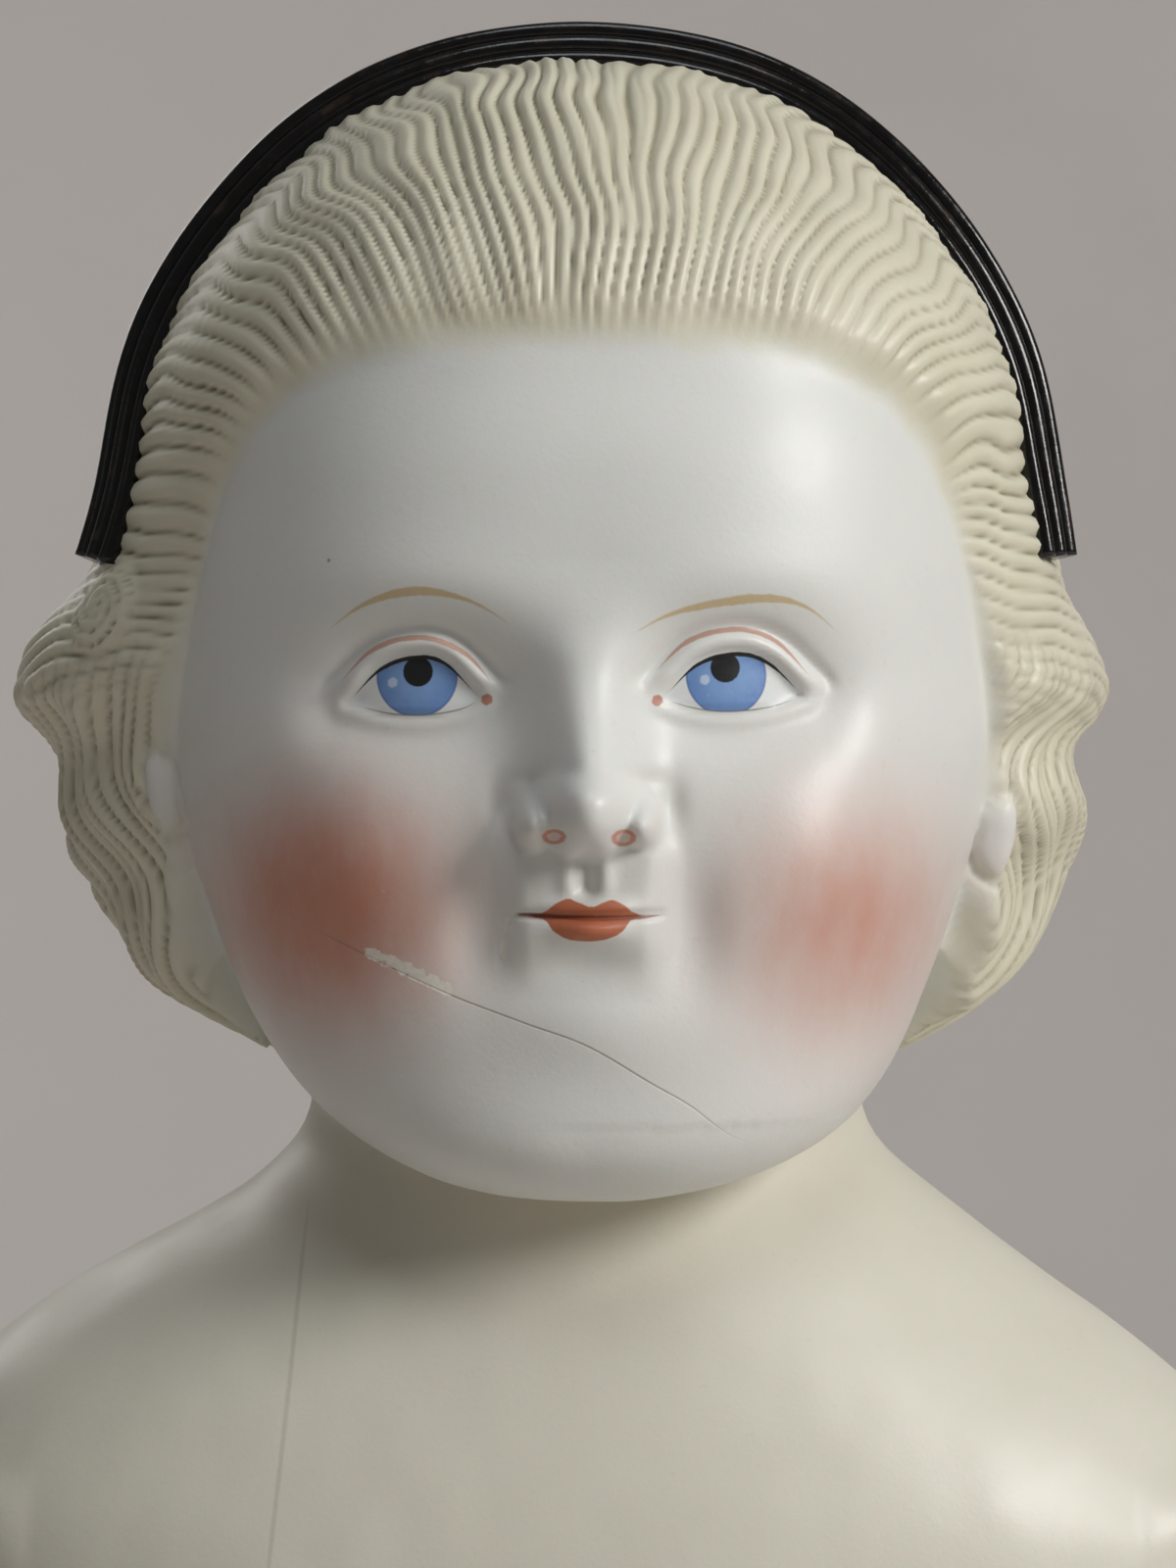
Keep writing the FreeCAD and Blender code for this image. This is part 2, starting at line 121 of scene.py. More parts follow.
def spline(keys, at):
    """Smooth curve through evenly numbered keys (rows of numbers), read at fractional numbers."""
    keys = np.asarray(keys, float)
    if keys.ndim == 1:
        keys = keys[:, None]
    padded = np.vstack([2 * keys[0] - keys[1], keys, 2 * keys[-1] - keys[-2]])
    at = np.clip(np.asarray(at, float), 0, len(keys) - 1)
    i = np.minimum(at.astype(int), len(keys) - 2)
    t = (at - i)[:, None]
    a, b, c, d = (padded[i + k] for k in range(4))
    return b + 0.5 * t * (c - a + t * (2 * a - 5 * b + 4 * c - d + t * (3 * (b - c) + d - a)))


def curve(points, count=80):
    """Points resampled along the smooth curve through them."""
    return spline(points, np.linspace(0, len(points) - 1, count))


def profile(points, at):
    """Value at a place, from (place, value) points with rising places, smoothly."""
    dense = curve(points, 12 * len(points))
    return np.interp(at, dense[:, 0], dense[:, 1])


def lattice_noise(p, scale, seed=0):
    """Smooth noise in -1..1 at the points p, whose cells are scale wide."""
    table = np.random.default_rng(seed).uniform(-1, 1, (32, 32, 32))
    q = np.asarray(p, float) / scale
    cell = np.floor(q).astype(int)
    f = q - cell
    f = f * f * (3 - 2 * f)
    total = 0.0
    for dx in (0, 1):
        for dy in (0, 1):
            for dz in (0, 1):
                corner = table[tuple((cell + (dx, dy, dz)).T % 32)]
                wx, wy, wz = (f[:, k] if d else 1 - f[:, k] for k, d in enumerate((dx, dy, dz)))
                total = total + corner * wx * wy * wz
    return total


def nearest_on(path, u, v):
    """Distance from points (u, v) to an open path, and how far along it (0..1) the nearest place is."""
    best = np.full(u.shape, 1e9)
    along = np.zeros(u.shape)
    last = len(path) - 1
    for i, (p, q) in enumerate(zip(path[:-1], path[1:])):
        edge = q - p
        t = np.clip(((u - p[0]) * edge[0] + (v - p[1]) * edge[1]) / max(edge @ edge, 1e-12), 0, 1)
        d = np.hypot(u - p[0] - t * edge[0], v - p[1] - t * edge[1])
        nearer = d < best
        best[nearer] = d[nearer]
        along[nearer] = ((i + t) / last)[nearer]
    return best, along


def inside(outline, u, v):
    """Whether points (u, v) are inside a closed outline."""
    hit = np.zeros(u.shape, bool)
    for (pu, pv), (qu, qv) in zip(outline, np.roll(outline, -1, axis=0)):
        if pv != qv:
            crosses = (pv > v) != (qv > v)
            hit ^= crosses & (u < (qu - pu) * (v - pv) / (qv - pv) + pu)
    return hit


def outline_distance(outline, u, v):
    """Distance from a closed outline: negative inside, positive outside."""
    closed = np.vstack([outline, outline[:1]])
    d, _ = nearest_on(closed, u, v)
    return np.where(inside(outline, u, v), -d, d)


def brush_line(path, u, v, half_width, taper=(0.25, 0.25)):
    """What a painted line's shader needs: signed distance from it, and its half width there."""
    dense = curve(path, 60)
    d, along = nearest_on(dense, u, v)
    above = v > np.interp(u, dense[:, 0], dense[:, 1])
    ends = np.minimum(ramp(along, 0.0, taper[0]), ramp(along, 1.0, 1.0 - taper[1]))
    return np.stack([np.where(above, d, -d), half_width * ends, along], axis=1)


# ---- meshes -------------------------------------------------------------------------------------
def as_object(name, points, faces, smooth=True):
    """A mesh object from points in millimetres."""
    mesh = bpy.data.meshes.new(name)
    mesh.from_pydata((np.asarray(points, float) * MM).tolist(), [], [list(map(int, f)) for f in faces])
    mesh.validate()
    mesh.polygons.foreach_set("use_smooth", [smooth] * len(mesh.polygons))
    mesh.update()
    obj = bpy.data.objects.new(name, mesh)
    bpy.context.scene.collection.objects.link(obj)
    return obj


def grid_faces(rows, cols, wrap=True):
    r = np.arange(rows - 1)[:, None] * cols
    c = np.arange(cols if wrap else cols - 1)[None, :]
    nxt = (c + 1) % cols
    return np.stack([r + c, r + nxt, r + cols + nxt, r + cols + c], axis=-1).reshape(-1, 4)


def grid_normals(points):
    """Outward normals of a grid of points whose columns wrap round, counted anticlockwise."""
    across = np.roll(points, -1, axis=1) - np.roll(points, 1, axis=1)
    up = np.gradient(points, axis=0)
    n = np.cross(across, up)
    return n / np.maximum(np.linalg.norm(n, axis=2, keepdims=True), 1e-9)


def tube_object(name, rings, cap_start=True, cap_end=True):
    """A mesh from rings of points (rows, columns, 3), closed at its ends by fans."""
    rows, cols = rings.shape[:2]
    points = rings.reshape(-1, 3)
    faces = grid_faces(rows, cols).tolist()
    if cap_start:
        points = np.vstack([points, rings[0].mean(axis=0)])
        faces += [[len(points) - 1, (c + 1) % cols, c] for c in range(cols)]
    if cap_end:
        points = np.vstack([points, rings[-1].mean(axis=0)])
        base = (rows - 1) * cols
        faces += [[len(points) - 1, base + c, base + (c + 1) % cols] for c in range(cols)]
    return as_object(name, points, faces)


def attribute(obj, name, values):
    """Stores one number or one vector for each point of a mesh, for its material to read."""
    values = np.asarray(values, np.float32)
    extra = len(obj.data.vertices) - len(values)
    if extra:  # a fan's middle takes its ring's last value
        values = np.concatenate([values, np.repeat(values[-1:], extra, axis=0)])
    if values.ndim == 1:
        obj.data.attributes.new(name, "FLOAT", "POINT").data.foreach_set("value", values)
    else:
        obj.data.attributes.new(name, "FLOAT_VECTOR", "POINT").data.foreach_set("vector", values.ravel())


# ---- materials ----------------------------------------------------------------------------------
class Paint:
    """A node material written as expressions. Every method returns a socket."""

    def __init__(self, name):
        self.material = bpy.data.materials.new(name)
        self.material.use_nodes = True
        self.tree = self.material.node_tree
        self.shader = self.tree.nodes["Principled BSDF"]
        self.place = self.node("ShaderNodeTexCoord").outputs["Object"]

    def node(self, kind, **settings):
        made = self.tree.nodes.new(kind)
        for key, value in settings.items():
            setattr(made, key, value)
        return made

    def feed(self, socket, value):
        if isinstance(value, bpy.types.NodeSocket):
            self.tree.links.new(value, socket)
        elif isinstance(value, tuple) and len(value) == 3 and socket.type == "RGBA":
            socket.default_value = (*value, 1.0)
        else:
            socket.default_value = value

    def math(self, operation, *values):
        made = self.node("ShaderNodeMath", operation=operation)
        for socket, value in zip(made.inputs, values):
            self.feed(socket, value)
        return made.outputs[0]

    def read(self, name, part=None):
        """A stored attribute: a number, or part x, y or z of a vector."""
        made = self.node("ShaderNodeAttribute", attribute_name=name)
        if part is None:
            return made.outputs["Fac"]
        split = self.node("ShaderNodeSeparateXYZ")
        self.tree.links.new(made.outputs["Vector"], split.inputs[0])
        return split.outputs[part.upper()]

    def step(self, value, low, high, to_low=0.0, to_high=1.0):
        made = self.node("ShaderNodeMapRange", interpolation_type="SMOOTHSTEP")
        if low > high:
            low, high, to_low, to_high = high, low, to_high, to_low
        for name, v in (("From Min", low), ("From Max", high), ("To Min", to_low), ("To Max", to_high)):
            made.inputs[name].default_value = v
        self.feed(made.inputs["Value"], value)
        return made.outputs["Result"]

    def noise(self, size_mm, detail=3.0, rough=0.5, stretch=(1, 1, 1)):
        """Noise about 0.5 whose blotches are size_mm wide."""
        scaled = self.node("ShaderNodeMapping")
        scaled.inputs["Scale"].default_value = tuple(s / (size_mm * MM) for s in stretch)
        self.tree.links.new(self.place, scaled.inputs["Vector"])
        made = self.node("ShaderNodeTexNoise")
        self.tree.links.new(scaled.outputs[0], made.inputs["Vector"])
        made.inputs["Scale"].default_value = 1.0
        made.inputs["Detail"].default_value = detail
        made.inputs["Roughness"].default_value = rough
        return made.outputs["Fac"]

    def mix(self, amount, low, high, blend="MIX"):
        made = self.node("ShaderNodeMix", data_type="RGBA", blend_type=blend)
        self.feed(made.inputs[0], amount)
        self.feed(made.inputs[6], low)
        self.feed(made.inputs[7], high)
        return made.outputs[2]

    def product(self, *values):
        total = values[0]
        for value in values[1:]:
            total = self.math("MULTIPLY", total, value)
        return total

    def finish(self, colour, rough, height=None, height_mm=0.1, **constants):
        """Wires the shader: colour, roughness and a bump whose full height is height_mm."""
        self.feed(self.shader.inputs["Base Color"], colour)
        self.feed(self.shader.inputs["Roughness"], rough)
        if height is not None:
            made = self.node("ShaderNodeBump")
            made.inputs["Strength"].default_value = 1.0
            made.inputs["Distance"].default_value = height_mm * MM
            self.feed(made.inputs["Height"], height)
            self.tree.links.new(made.outputs[0], self.shader.inputs["Normal"])
        for name, value in constants.items():
            self.shader.inputs[name.replace("_", " ")].default_value = value
        return self.material


def rgb(r, g, b):
    """A colour given as it looks on screen (0 to 255), for a shader."""
    return tuple(((c / 255 + 0.055) / 1.055) ** 2.4 if c > 10 else c / 255 / 12.92 for c in (r, g, b))


# ---- the head and shoulder plate: form ----------------------------------------------------------
# Each row is a closed outline. Columns: side height, half width, front height, front, back height,
# back, middle, roundness. Heights differ round a row, so that the rows follow the jaw.
SKIN_ROWS = [
    (160.0, 61.2, 160.0, -39.4, 160.0, 34.4, -1.0, 2.3),
    (168.0, 66.0, 168.0, -38.8, 168.0, 34.0, -1.0, 2.3),
    (177.0, 66.2, 177.0, -37.4, 177.0, 33.0, -1.0, 2.3),
    (185.0, 60.5, 185.0, -35.4, 185.0, 31.2, -1.0, 2.2),
    (192.0, 52.0, 192.0, -33.2, 192.0, 28.8, 0.0, 2.1),
    (198.5, 42.3, 198.5, -30.6, 198.5, 26.2, 1.0, 2.0),
    (204.0, 33.8, 203.0, -28.2, 204.0, 24.4, 1.5, 2.0),
    (208.5, 28.4, 206.0, -26.8, 209.0, 23.2, 2.0, 2.0),
    (212.5, 26.4, 208.0, -26.2, 213.5, 22.6, 2.0, 2.0),
    (215.5, 26.8, 208.2, -28.5, 217.0, 23.5, 1.0, 2.0),
    (217.5, 27.8, 207.0, -33.0, 220.0, 25.0, 0.0, 2.1),
    (219.5, 29.0, 207.2, -37.2, 223.0, 27.0, 0.0, 2.2),
    (222.0, 30.4, 209.2, -40.6, 227.0, 29.0, 0.0, 2.3),
    (225.0, 32.0, 212.5, -42.6, 231.0, 31.0, 0.0, 2.3),
    (229.0, 33.8, 218.5, -43.0, 236.0, 33.0, 0.0, 2.3),
    (234.0, 35.6, 226.0, -42.6, 241.0, 35.0, 0.0, 2.35),
    (240.0, 37.4, 235.0, -42.2, 246.0, 36.0, 0.0, 2.4),
    (247.0, 38.5, 244.0, -41.4, 252.0, 37.0, 0.0, 2.4),
    (254.0, 38.4, 252.0, -40.8, 258.0, 37.5, 0.0, 2.4),
    (262.0, 37.6, 261.0, -41.6, 265.0, 37.5, 0.0, 2.4),
    (270.0, 36.6, 269.5, -40.8, 272.0, 37.0, 0.0, 2.4),
    (277.0, 35.8, 277.0, -38.7, 279.0, 36.0, 0.0, 2.35),
    (284.0, 34.0, 284.0, -36.3, 285.0, 34.0, 0.0, 2.3),
    (291.5, 29.5, 291.5, -30.5, 292.0, 31.0, 0.0, 2.2),
    (299.0, 23.5, 299.0, -22.5, 299.0, 25.0, 0.0, 2.1),
    (305.0, 17.0, 305.0, -15.5, 305.0, 17.5, 0.0, 2.0),
    (309.6, 9.0, 309.6, -8.0, 309.6, 9.0, 0.0, 2.0),
    (311.7, 0.6, 311.7, -0.6, 311.7, 0.6, 0.0, 2.0),
]
# The hair's surface over the same rows, from the neck up: half width, front, back, middle, roundness.
HAIR_FIRST_ROW = 8
HAIR_ROWS = [
    (26.4, -18.0, 22.6, 2.0, 2.0),
    (27.4, -12.0, 26.0, 6.0, 2.0),
    (29.4, -13.0, 33.5, 9.0, 2.0),
    (31.0, -14.0, 39.5, 11.0, 2.1),
    (34.0, -16.0, 44.0, 12.0, 2.1),
    (39.0, -19.0, 47.5, 12.0, 2.2),
    (44.0, -22.0, 49.5, 12.0, 2.2),
    (47.8, -24.0, 51.0, 12.0, 2.2),
    (48.8, -25.0, 51.8, 11.0, 2.2),
    (50.2, -26.0, 52.3, 10.0, 2.2),
    (52.6, -27.5, 52.2, 8.0, 2.15),
    (47.6, -30.5, 51.2, 6.0, 2.2),
    (43.9, -34.5, 49.5, 4.0, 2.2),
    (42.4, -37.6, 47.3, 3.0, 2.2),
    (40.3, -37.8, 44.6, 2.0, 2.2),
    (36.2, -35.4, 40.3, 1.0, 2.15),
    (30.2, -29.8, 33.0, 0.0, 2.05),
    (23.4, -23.0, 24.6, 0.0, 2.0),
    (13.4, -13.0, 13.8, 0.0, 2.0),
    (0.8, -0.8, 0.8, 0.0, 2.0),
]
FACE_RADIUS = 38.0  # the face is unrolled about the Z axis at this radius
# Half of the hairline on that unrolled surface: distance from the middle, and height.
HAIRLINE = [
    (0.0, 280.6), (13.0, 280.4), (20.5, 279.3), (27.0, 276.8), (31.6, 273.0), (36.0, 267.4),
    (39.3, 260.7), (42.2, 253.7), (45.0, 246.6), (46.6, 240.0), (47.3, 234.0), (48.6, 228.0),
    (53.0, 222.4), (60.0, 219.2), (75.0, 217.4), (119.4, 217.2),
]
FACE_ROW_STEP, PLATE_ROW_STEP, CROWN_ROW_STEP = 0.42, 1.0, 0.6
FRONT_COLUMN_STEP, BACK_COLUMN_STEP = 0.42, 0.66


def head_rows():
    """Fractional row numbers from the plate's edge to the crown, closest together over the face."""
    fine = np.linspace(0, len(SKIN_ROWS) - 1, 4000)
    skin = spline(SKIN_ROWS, fine)
    hair_at = np.maximum(fine - HAIR_FIRST_ROW, 0)
    back = spline(HAIR_ROWS, hair_at)[:, 2]
    front_run = np.hypot(np.diff(skin[:, 2]), np.diff(skin[:, 3]))
    side_run = np.hypot(np.diff(skin[:, 0]), np.diff(skin[:, 1]))
    back_run = np.hypot(np.diff(skin[:, 4]), np.where(hair_at[1:] > 0, np.diff(back), 0))
    middle = (fine[1:] + fine[:-1]) / 2
    step = np.where(middle < 8.0, PLATE_ROW_STEP, np.where(middle > 22.0, CROWN_ROW_STEP, FACE_ROW_STEP))
    count = np.concatenate([[0], np.cumsum(np.maximum.reduce([front_run, 0.7 * side_run, 0.6 * back_run]) / step)])
    return np.interp(np.arange(int(count[-1]) + 1) * count[-1] / int(count[-1]), count, fine)


def head_angles():
    """Column angles round the head, anticlockwise from +X, closest together over the face."""
    fine = np.linspace(0, 2 * math.pi, 4000)
    front = ramp(-np.sin(fine), -0.35, 0.25)
    step = BACK_COLUMN_STEP + (FRONT_COLUMN_STEP - BACK_COLUMN_STEP) * front
    count = np.concatenate([[0], np.cumsum(np.diff(fine) * 46.0 / step[1:])])
    total = int(count[-1])
    return np.interp(np.arange(total) * count[-1] / total, count, fine)


def section_points(side_z, half_width, front_z, front, back_z, back, middle, roundness, angle):
    """Rows of rounded outlines, read at angles about the Z axis; every argument but the last is a column."""
    t = np.linspace(0, 2 * math.pi, 1440, endpoint=False)[None, :]
    c, s = np.cos(t), np.sin(t)
    power = 2.0 / roundness
    x = half_width * np.sign(c) * np.abs(c) ** power
    y = middle + np.where(s < 0, middle - front, back - middle) * np.sign(s) * np.abs(s) ** power
    z = side_z + np.where(s < 0, front_z - side_z, back_z - side_z) * np.abs(s) ** 1.5
    polar = np.arctan2(y, x)
    rows = [
        [np.interp(angle, polar[k], v[k], period=2 * math.pi) for v in (x, y, z)] for k in range(len(x))
    ]
    return np.array(rows).transpose(0, 2, 1)


def head_form():
    """Skin and hair surfaces over one grid, and each row's number."""
    rows, angle = head_rows(), head_angles()
    skin = spline(SKIN_ROWS, rows)
    side_z, half_width, front_z, front, back_z, back, middle, roundness = (skin[:, k : k + 1] for k in range(8))
    skin_points = section_points(*(skin[:, k : k + 1] for k in range(8)), angle)
    hair = spline(HAIR_ROWS, np.maximum(rows - HAIR_FIRST_ROW, 0))
    w, f, b, m, n = (hair[:, k : k + 1] for k in range(5))
    hair_points = section_points(side_z, w, front_z, f, back_z, b, m, n, angle)
    return skin_points, hair_points, np.repeat(rows[:, None], len(angle), axis=1)


# ---- the face: features -------------------------------------------------------------------------
class Eye:
    """One moulded and painted eye, in front-view millimetres."""

    def __init__(self, upper, lower, crease, brow, iris, iris_r, pupil, glint, tear):
        self.upper, self.lower, self.crease, self.brow = upper, lower, crease, brow
        self.iris, self.iris_r, self.pupil, self.glint, self.tear = iris, iris_r, pupil, glint, tear

    def opening(self):
        return np.vstack([curve(self.upper, 40), curve(self.lower, 40)[::-1][1:-1]])


EYES = (
    Eye(
        upper=[(-20.6, 250.0), (-17.8, 252.8), (-14.8, 253.8), (-12.2, 253.3), (-9.2, 250.3)],
        lower=[(-20.6, 250.0), (-17.2, 249.1), (-14.0, 248.9), (-10.8, 249.4), (-9.2, 250.3)],
        crease=[(-21.6, 251.4), (-18.4, 254.5), (-14.4, 255.5), (-10.6, 254.2), (-7.8, 251.2)],
        brow=[(-22.8, 255.9), (-19.0, 258.4), (-14.6, 259.4), (-10.0, 258.5), (-5.8, 256.0)],
        iris=(-14.6, 252.2), iris_r=3.45, pupil=(-14.5, 252.6), glint=(-16.7, 251.7), tear=(-8.6, 250.2),
    ),
    Eye(
        upper=[(6.4, 250.3), (9.4, 253.2), (12.8, 254.1), (15.6, 253.3), (18.6, 250.6)],
        lower=[(6.4, 250.3), (9.0, 249.5), (12.0, 249.2), (15.6, 249.6), (18.6, 250.6)],
        crease=[(5.4, 252.2), (8.6, 255.2), (12.8, 256.2), (16.2, 255.2), (19.6, 251.8)],
        brow=[(3.2, 255.4), (7.6, 257.6), (14.4, 258.8), (18.6, 258.2), (22.2, 255.6)],
        iris=(11.85, 252.3), iris_r=3.55, pupil=(11.75, 252.95), glint=(10.0, 251.9), tear=(5.9, 250.1),
    ),
)
LIPS = [
    (-6.5, 232.2), (-5.2, 232.02), (-3.9, 232.2), (-2.9, 232.9), (-1.8, 233.4), (-0.8, 233.05), (0.1, 232.7),
    (0.9, 232.95), (1.9, 233.3), (2.9, 232.85), (3.8, 232.2), (5.0, 231.92), (6.3, 232.02), (5.0, 231.62),
    (3.6, 231.6), (2.8, 230.6), (1.3, 229.95), (-0.3, 229.8), (-1.9, 230.0), (-3.0, 230.7), (-3.7, 231.55), (-5.2, 231.7),
]
BRIDGE = [  # height up the face, how far the nose's bridge stands forward, half width
    (226.0, 0.0, 3.0), (237.0, 0.0, 3.0), (238.2, 1.5, 3.0), (239.4, 5.0, 3.1), (242.0, 6.9, 3.3), (243.8, 6.5, 3.6),
    (246.5, 5.2, 4.1), (250.0, 3.9, 4.5), (253.5, 2.6, 4.8), (257.0, 1.2, 5.6), (262.0, 0.0, 6.0), (270.0, 0.0, 6.0),
]
MOUTH_Z = 231.9


def eye_relief(eye, x, z):
    """How far an eye's socket, lids and ball stand forward of the face."""
    d = outline_distance(eye.opening(), x, z)
    out = np.maximum(d, 0)
    cx, cz = eye.iris[0], eye.iris[1] - 1.0
    over = ramp(z, cz - 0.8, cz + 1.2)
    relief = -2.0 * np.exp(-((out / 4.6) ** 2))
    relief += over * (1.25 * np.exp(-(((d - 1.05) / 0.85) ** 2)) - 0.55 * np.exp(-(((d - 2.55) / 0.6) ** 2)))
    relief += (1 - over) * 0.45 * np.exp(-(((d - 0.75) / 0.8) ** 2))
    ball = 1.25 - 1.1 * ((x - cx) / 6.2) ** 2 - 0.9 * ((z - cz) / 4.4) ** 2
    return relief + ramp(d, 0.18, -0.32) * (ball - 0.45)


def face_relief(x, z):
    """How far the moulded features stand forward of the plain face."""
    relief = sum(eye_relief(eye, x, z) for eye in EYES)
    relief += 0.7 * (bump(x, z, -14, 259.5, 9, 4) + bump(x, z, 12.5, 259.5, 9, 4))
    bridge = profile([row[:2] for row in BRIDGE], z)
    width = profile([row[::2] for row in BRIDGE], z)
    tip = 8.9 - 3.6 * (((x + 0.05) / 3.3) ** 2 + ((z - 241.2) / 3.05) ** 2)
    wings = [
        5.3 - 3.4 * (((side * (x + 0.15) - 4.4) / 1.75) ** 2 + ((z - 239.9) / 2.05) ** 2) for side in (-1, 1)
    ]
    forward = bridge * np.exp(-(np.abs((x - 0.2) / width) ** 2.2))
    raised = np.exp(2.2 * np.clip(np.stack([forward, tip, *wings]), 0, None)) - 1
    relief += np.log(1 + raised.sum(axis=0)) / 2.2
    for side in (-1, 1):
        across = side * (x + 0.15)
        relief -= 0.8 * bump(across, z, 7.3, 241.0, 1.1, 2.4)
        relief -= 0.5 * bump(across, z, 4.6, 243.3, 1.6, 0.8)
        relief -= 0.8 * bump(across, z, 2.75, 238.45, 0.75, 0.5)
        relief += 1.8 * bump(across, z, 20.0, 235.0, 9.5, 10.0)
        relief -= 0.9 * bump(across, z, 9.2, 231.2, 2.5, 5.2)
    # the block round the mouth, and the chin
    half = 6.7 - 0.08 * np.clip(236.0 - z, 0, 12)
    block = ramp(np.abs(x + 0.2), half + 2.1, half - 1.6) * ramp(z, 224.6, 230.4) * ramp(z, 241.0, 237.0)
    relief += (1.9 - 0.012 * x * x) * block
    relief += 1.3 * bump(x, z, 0.3, 223.0, 7.2, 3.8) - 0.7 * bump(x, z, 0.0, 227.8, 4.4, 1.7)
    # lips
    upper_lip = MOUTH_Z + 0.75
    relief += 0.9 * np.exp(-(((z - upper_lip) / 0.62) ** 2) - (x / 3.9) ** 4)
    relief += 1.4 * bump(x, z, -0.2, 230.8, 2.9, 0.9)
    relief -= 0.7 * np.exp(-(((z - MOUTH_Z - 0.004 * x * x) / 0.22) ** 2)) * ramp(np.abs(x), 6.9, 5.4)
    groove = ramp(z, 233.0, 234.6) * ramp(z, 238.0, 236.4)
    relief += groove * (0.45 * np.exp(-(((np.abs(x + 0.25) - 1.6) / 0.75) ** 2)))
    relief -= groove * 0.85 * np.exp(-(((x + 0.25) / 0.8) ** 2))
    # where the mould's edge has chipped beside the mouth
    relief -= 0.25 * chip_beside_mouth(x, z)
    return relief


def chip_beside_mouth(x, z):
    d, along = nearest_on(np.array([(-6.7, 231.6), (-7.1, 230.0), (-7.3, 228.2)]), x, z)
    return ramp(d, 0.55, 0.2)


EARS = ((-46.6, 243.2, 1.1, 3.6), (47.6, 239.8, 1.2, 3.4))  # unrolled place and half sizes


def ear_field(a, z):
    """Below 1 on an ear."""
    fields = [np.hypot((a - ea) / ra, (z - ez) / rz) for ea, ez, ra, rz in EARS]
    return np.minimum(*fields)


# ---- the hair: strands --------------------------------------------------------------------------
PARTING_FRONT, PARTING_BACK = np.array((0.0, -45.0, 250.0)), np.array((0.0, 46.0, 216.0))
STRANDS = 190


def strand_angle(p):
    """Angle about the line from the face to the nape that all strands fan out round."""
    axis = PARTING_BACK - PARTING_FRONT
    axis = axis / np.linalg.norm(axis)
    up = np.array((0.0, -axis[2], axis[1]))
    v = p - PARTING_FRONT
    run = v @ axis
    return np.arctan2(v[:, 0], v @ up), run, np.hypot(v[:, 0], v @ up)


CURLS = [  # unrolled about the Z axis: degrees from the front, height, radius, turn
    (-74.0, 259.0, 4.8, 1), (63.0, 231.5, 3.7, -1), (-108.0, 229.5, 6.0, -1), (-128.0, 236.0, 7.2, 1),
    (112.0, 237.5, 7.0, -1), (-146.0, 230.0, 7.5, 1), (134.0, 230.0, 7.5, -1), (-166.0, 237.0, 7.2, 1),
    (157.0, 236.0, 7.2, -1), (178.0, 229.0, 7.5, 1),
]


def ridges(phase, sharp=0.62):
    """Rounded strands with narrow grooves between them, about zero."""
    return np.abs(np.cos(phase / 2)) ** sharp - 0.70


def groove(phase):
    """Near 1 at the bottom of the grooves that ridges() leaves."""
    return np.exp(-((np.cos(phase / 2) / 0.34) ** 2))


def hair_relief(p, depth):
    """Height of combed strands, waves and curls, and how dark to paint their grooves with dirt and painted shade; depth
    is how far inside the hairline a point is.
    """
    angle, run, _ = strand_angle(p)
    broad, fine = lattice_noise(p, 26.0, 2), lattice_noise(p, 8.0, 1)
    sway = 0.055 * broad + 0.030 * fine
    uneven = 0.75 + 0.35 * lattice_noise(p, 6.0, 9)
    strand = STRANDS * (angle + sway) + 1.6 * lattice_noise(p, 13.0, 3)
    combed = 0.74 * uneven * ridges(strand)
    combed += 0.12 * ridges(2.3 * STRANDS * (angle + sway))
    combed += 0.16 * np.cos(STRANDS / 5 * (angle + 1.5 * sway) + 1.5 * broad)

    # below the band the hair falls in loose waves
    turn = np.arctan2(p[:, 0], -p[:, 1])
    across = 49.0 * turn + 3.2 * np.sin(p[:, 2] / 3.9 + 1.6 * np.abs(turn) + 1.2 * broad) + 1.2 * fine
    falling = 0.72 * uneven * ridges(2 * math.pi * across / 1.9)
    falling += 0.15 * ridges(2 * math.pi * across / 1.05)
    falling += 0.60 * np.cos(2 * math.pi * across / 8.5 + 1.5 * broad)
    falling += 0.85 * np.cos(p[:, 2] / 2.3 + 2.0 * np.abs(turn) + 1.8 * broad)
    low = ramp(p[:, 2] + 3.0 * fine, 256.5, 248.5) * ramp(np.abs(turn), 0.60, 0.75)
    relief = combed * (1 - low) + falling * low
    # the grooves between strands are painted darker: partly dirt, partly painted shade
    groove_dirt_and_shade = uneven * (groove(strand) * (1 - low) + groove(2 * math.pi * across / 1.9) * low)

    turn_deg = np.degrees(turn)
    for where, height, size, hand in CURLS:
        off = (turn_deg - where + 180.0) % 360.0 - 180.0
        u, v = np.radians(off) * 49.0, p[:, 2] - height
        r = np.hypot(u, v)
        on = ramp(r, size, size * 0.70)
        swirl = ridges(hand * 2 * np.arctan2(v, u) + r * 6.3 / 1.15)
        curl = 1.3 * np.sqrt(np.maximum(1 - (r / size) ** 2, 0)) + 0.55 * swirl
        relief = relief * (1 - on) + curl * on
        # the curls' grooves get the same dirt and painted shade
        groove_dirt_and_shade = groove_dirt_and_shade * (1 - on) + 0.8 * np.exp(-(((swirl + 0.70) / 0.34) ** 2)) * on
    reach = 1.8 + 4.7 * ramp(p[:, 2], 260.0, 276.0)
    return relief * ramp(depth / reach, 0.0, 1.0), groove_dirt_and_shade * ramp(depth / reach, 0.1, 1.0)


# ---- the head and shoulder plate: assembly ------------------------------------------------------
ARCH_RADIUS, ARCH_X, ARCH_Z = 24.0, 72.0, 153.0  # the plate's edge is arched over each arm
WALL = 3.5


def plate_edge_z(x):
    """Height of the plate's lower edge, which rises over the arms."""
    inner = np.clip(ARCH_RADIUS**2 - (ARCH_X - np.abs(x)) ** 2, 0, None)
    return np.maximum(160.0, ARCH_Z + np.sqrt(inner)) * 1.0


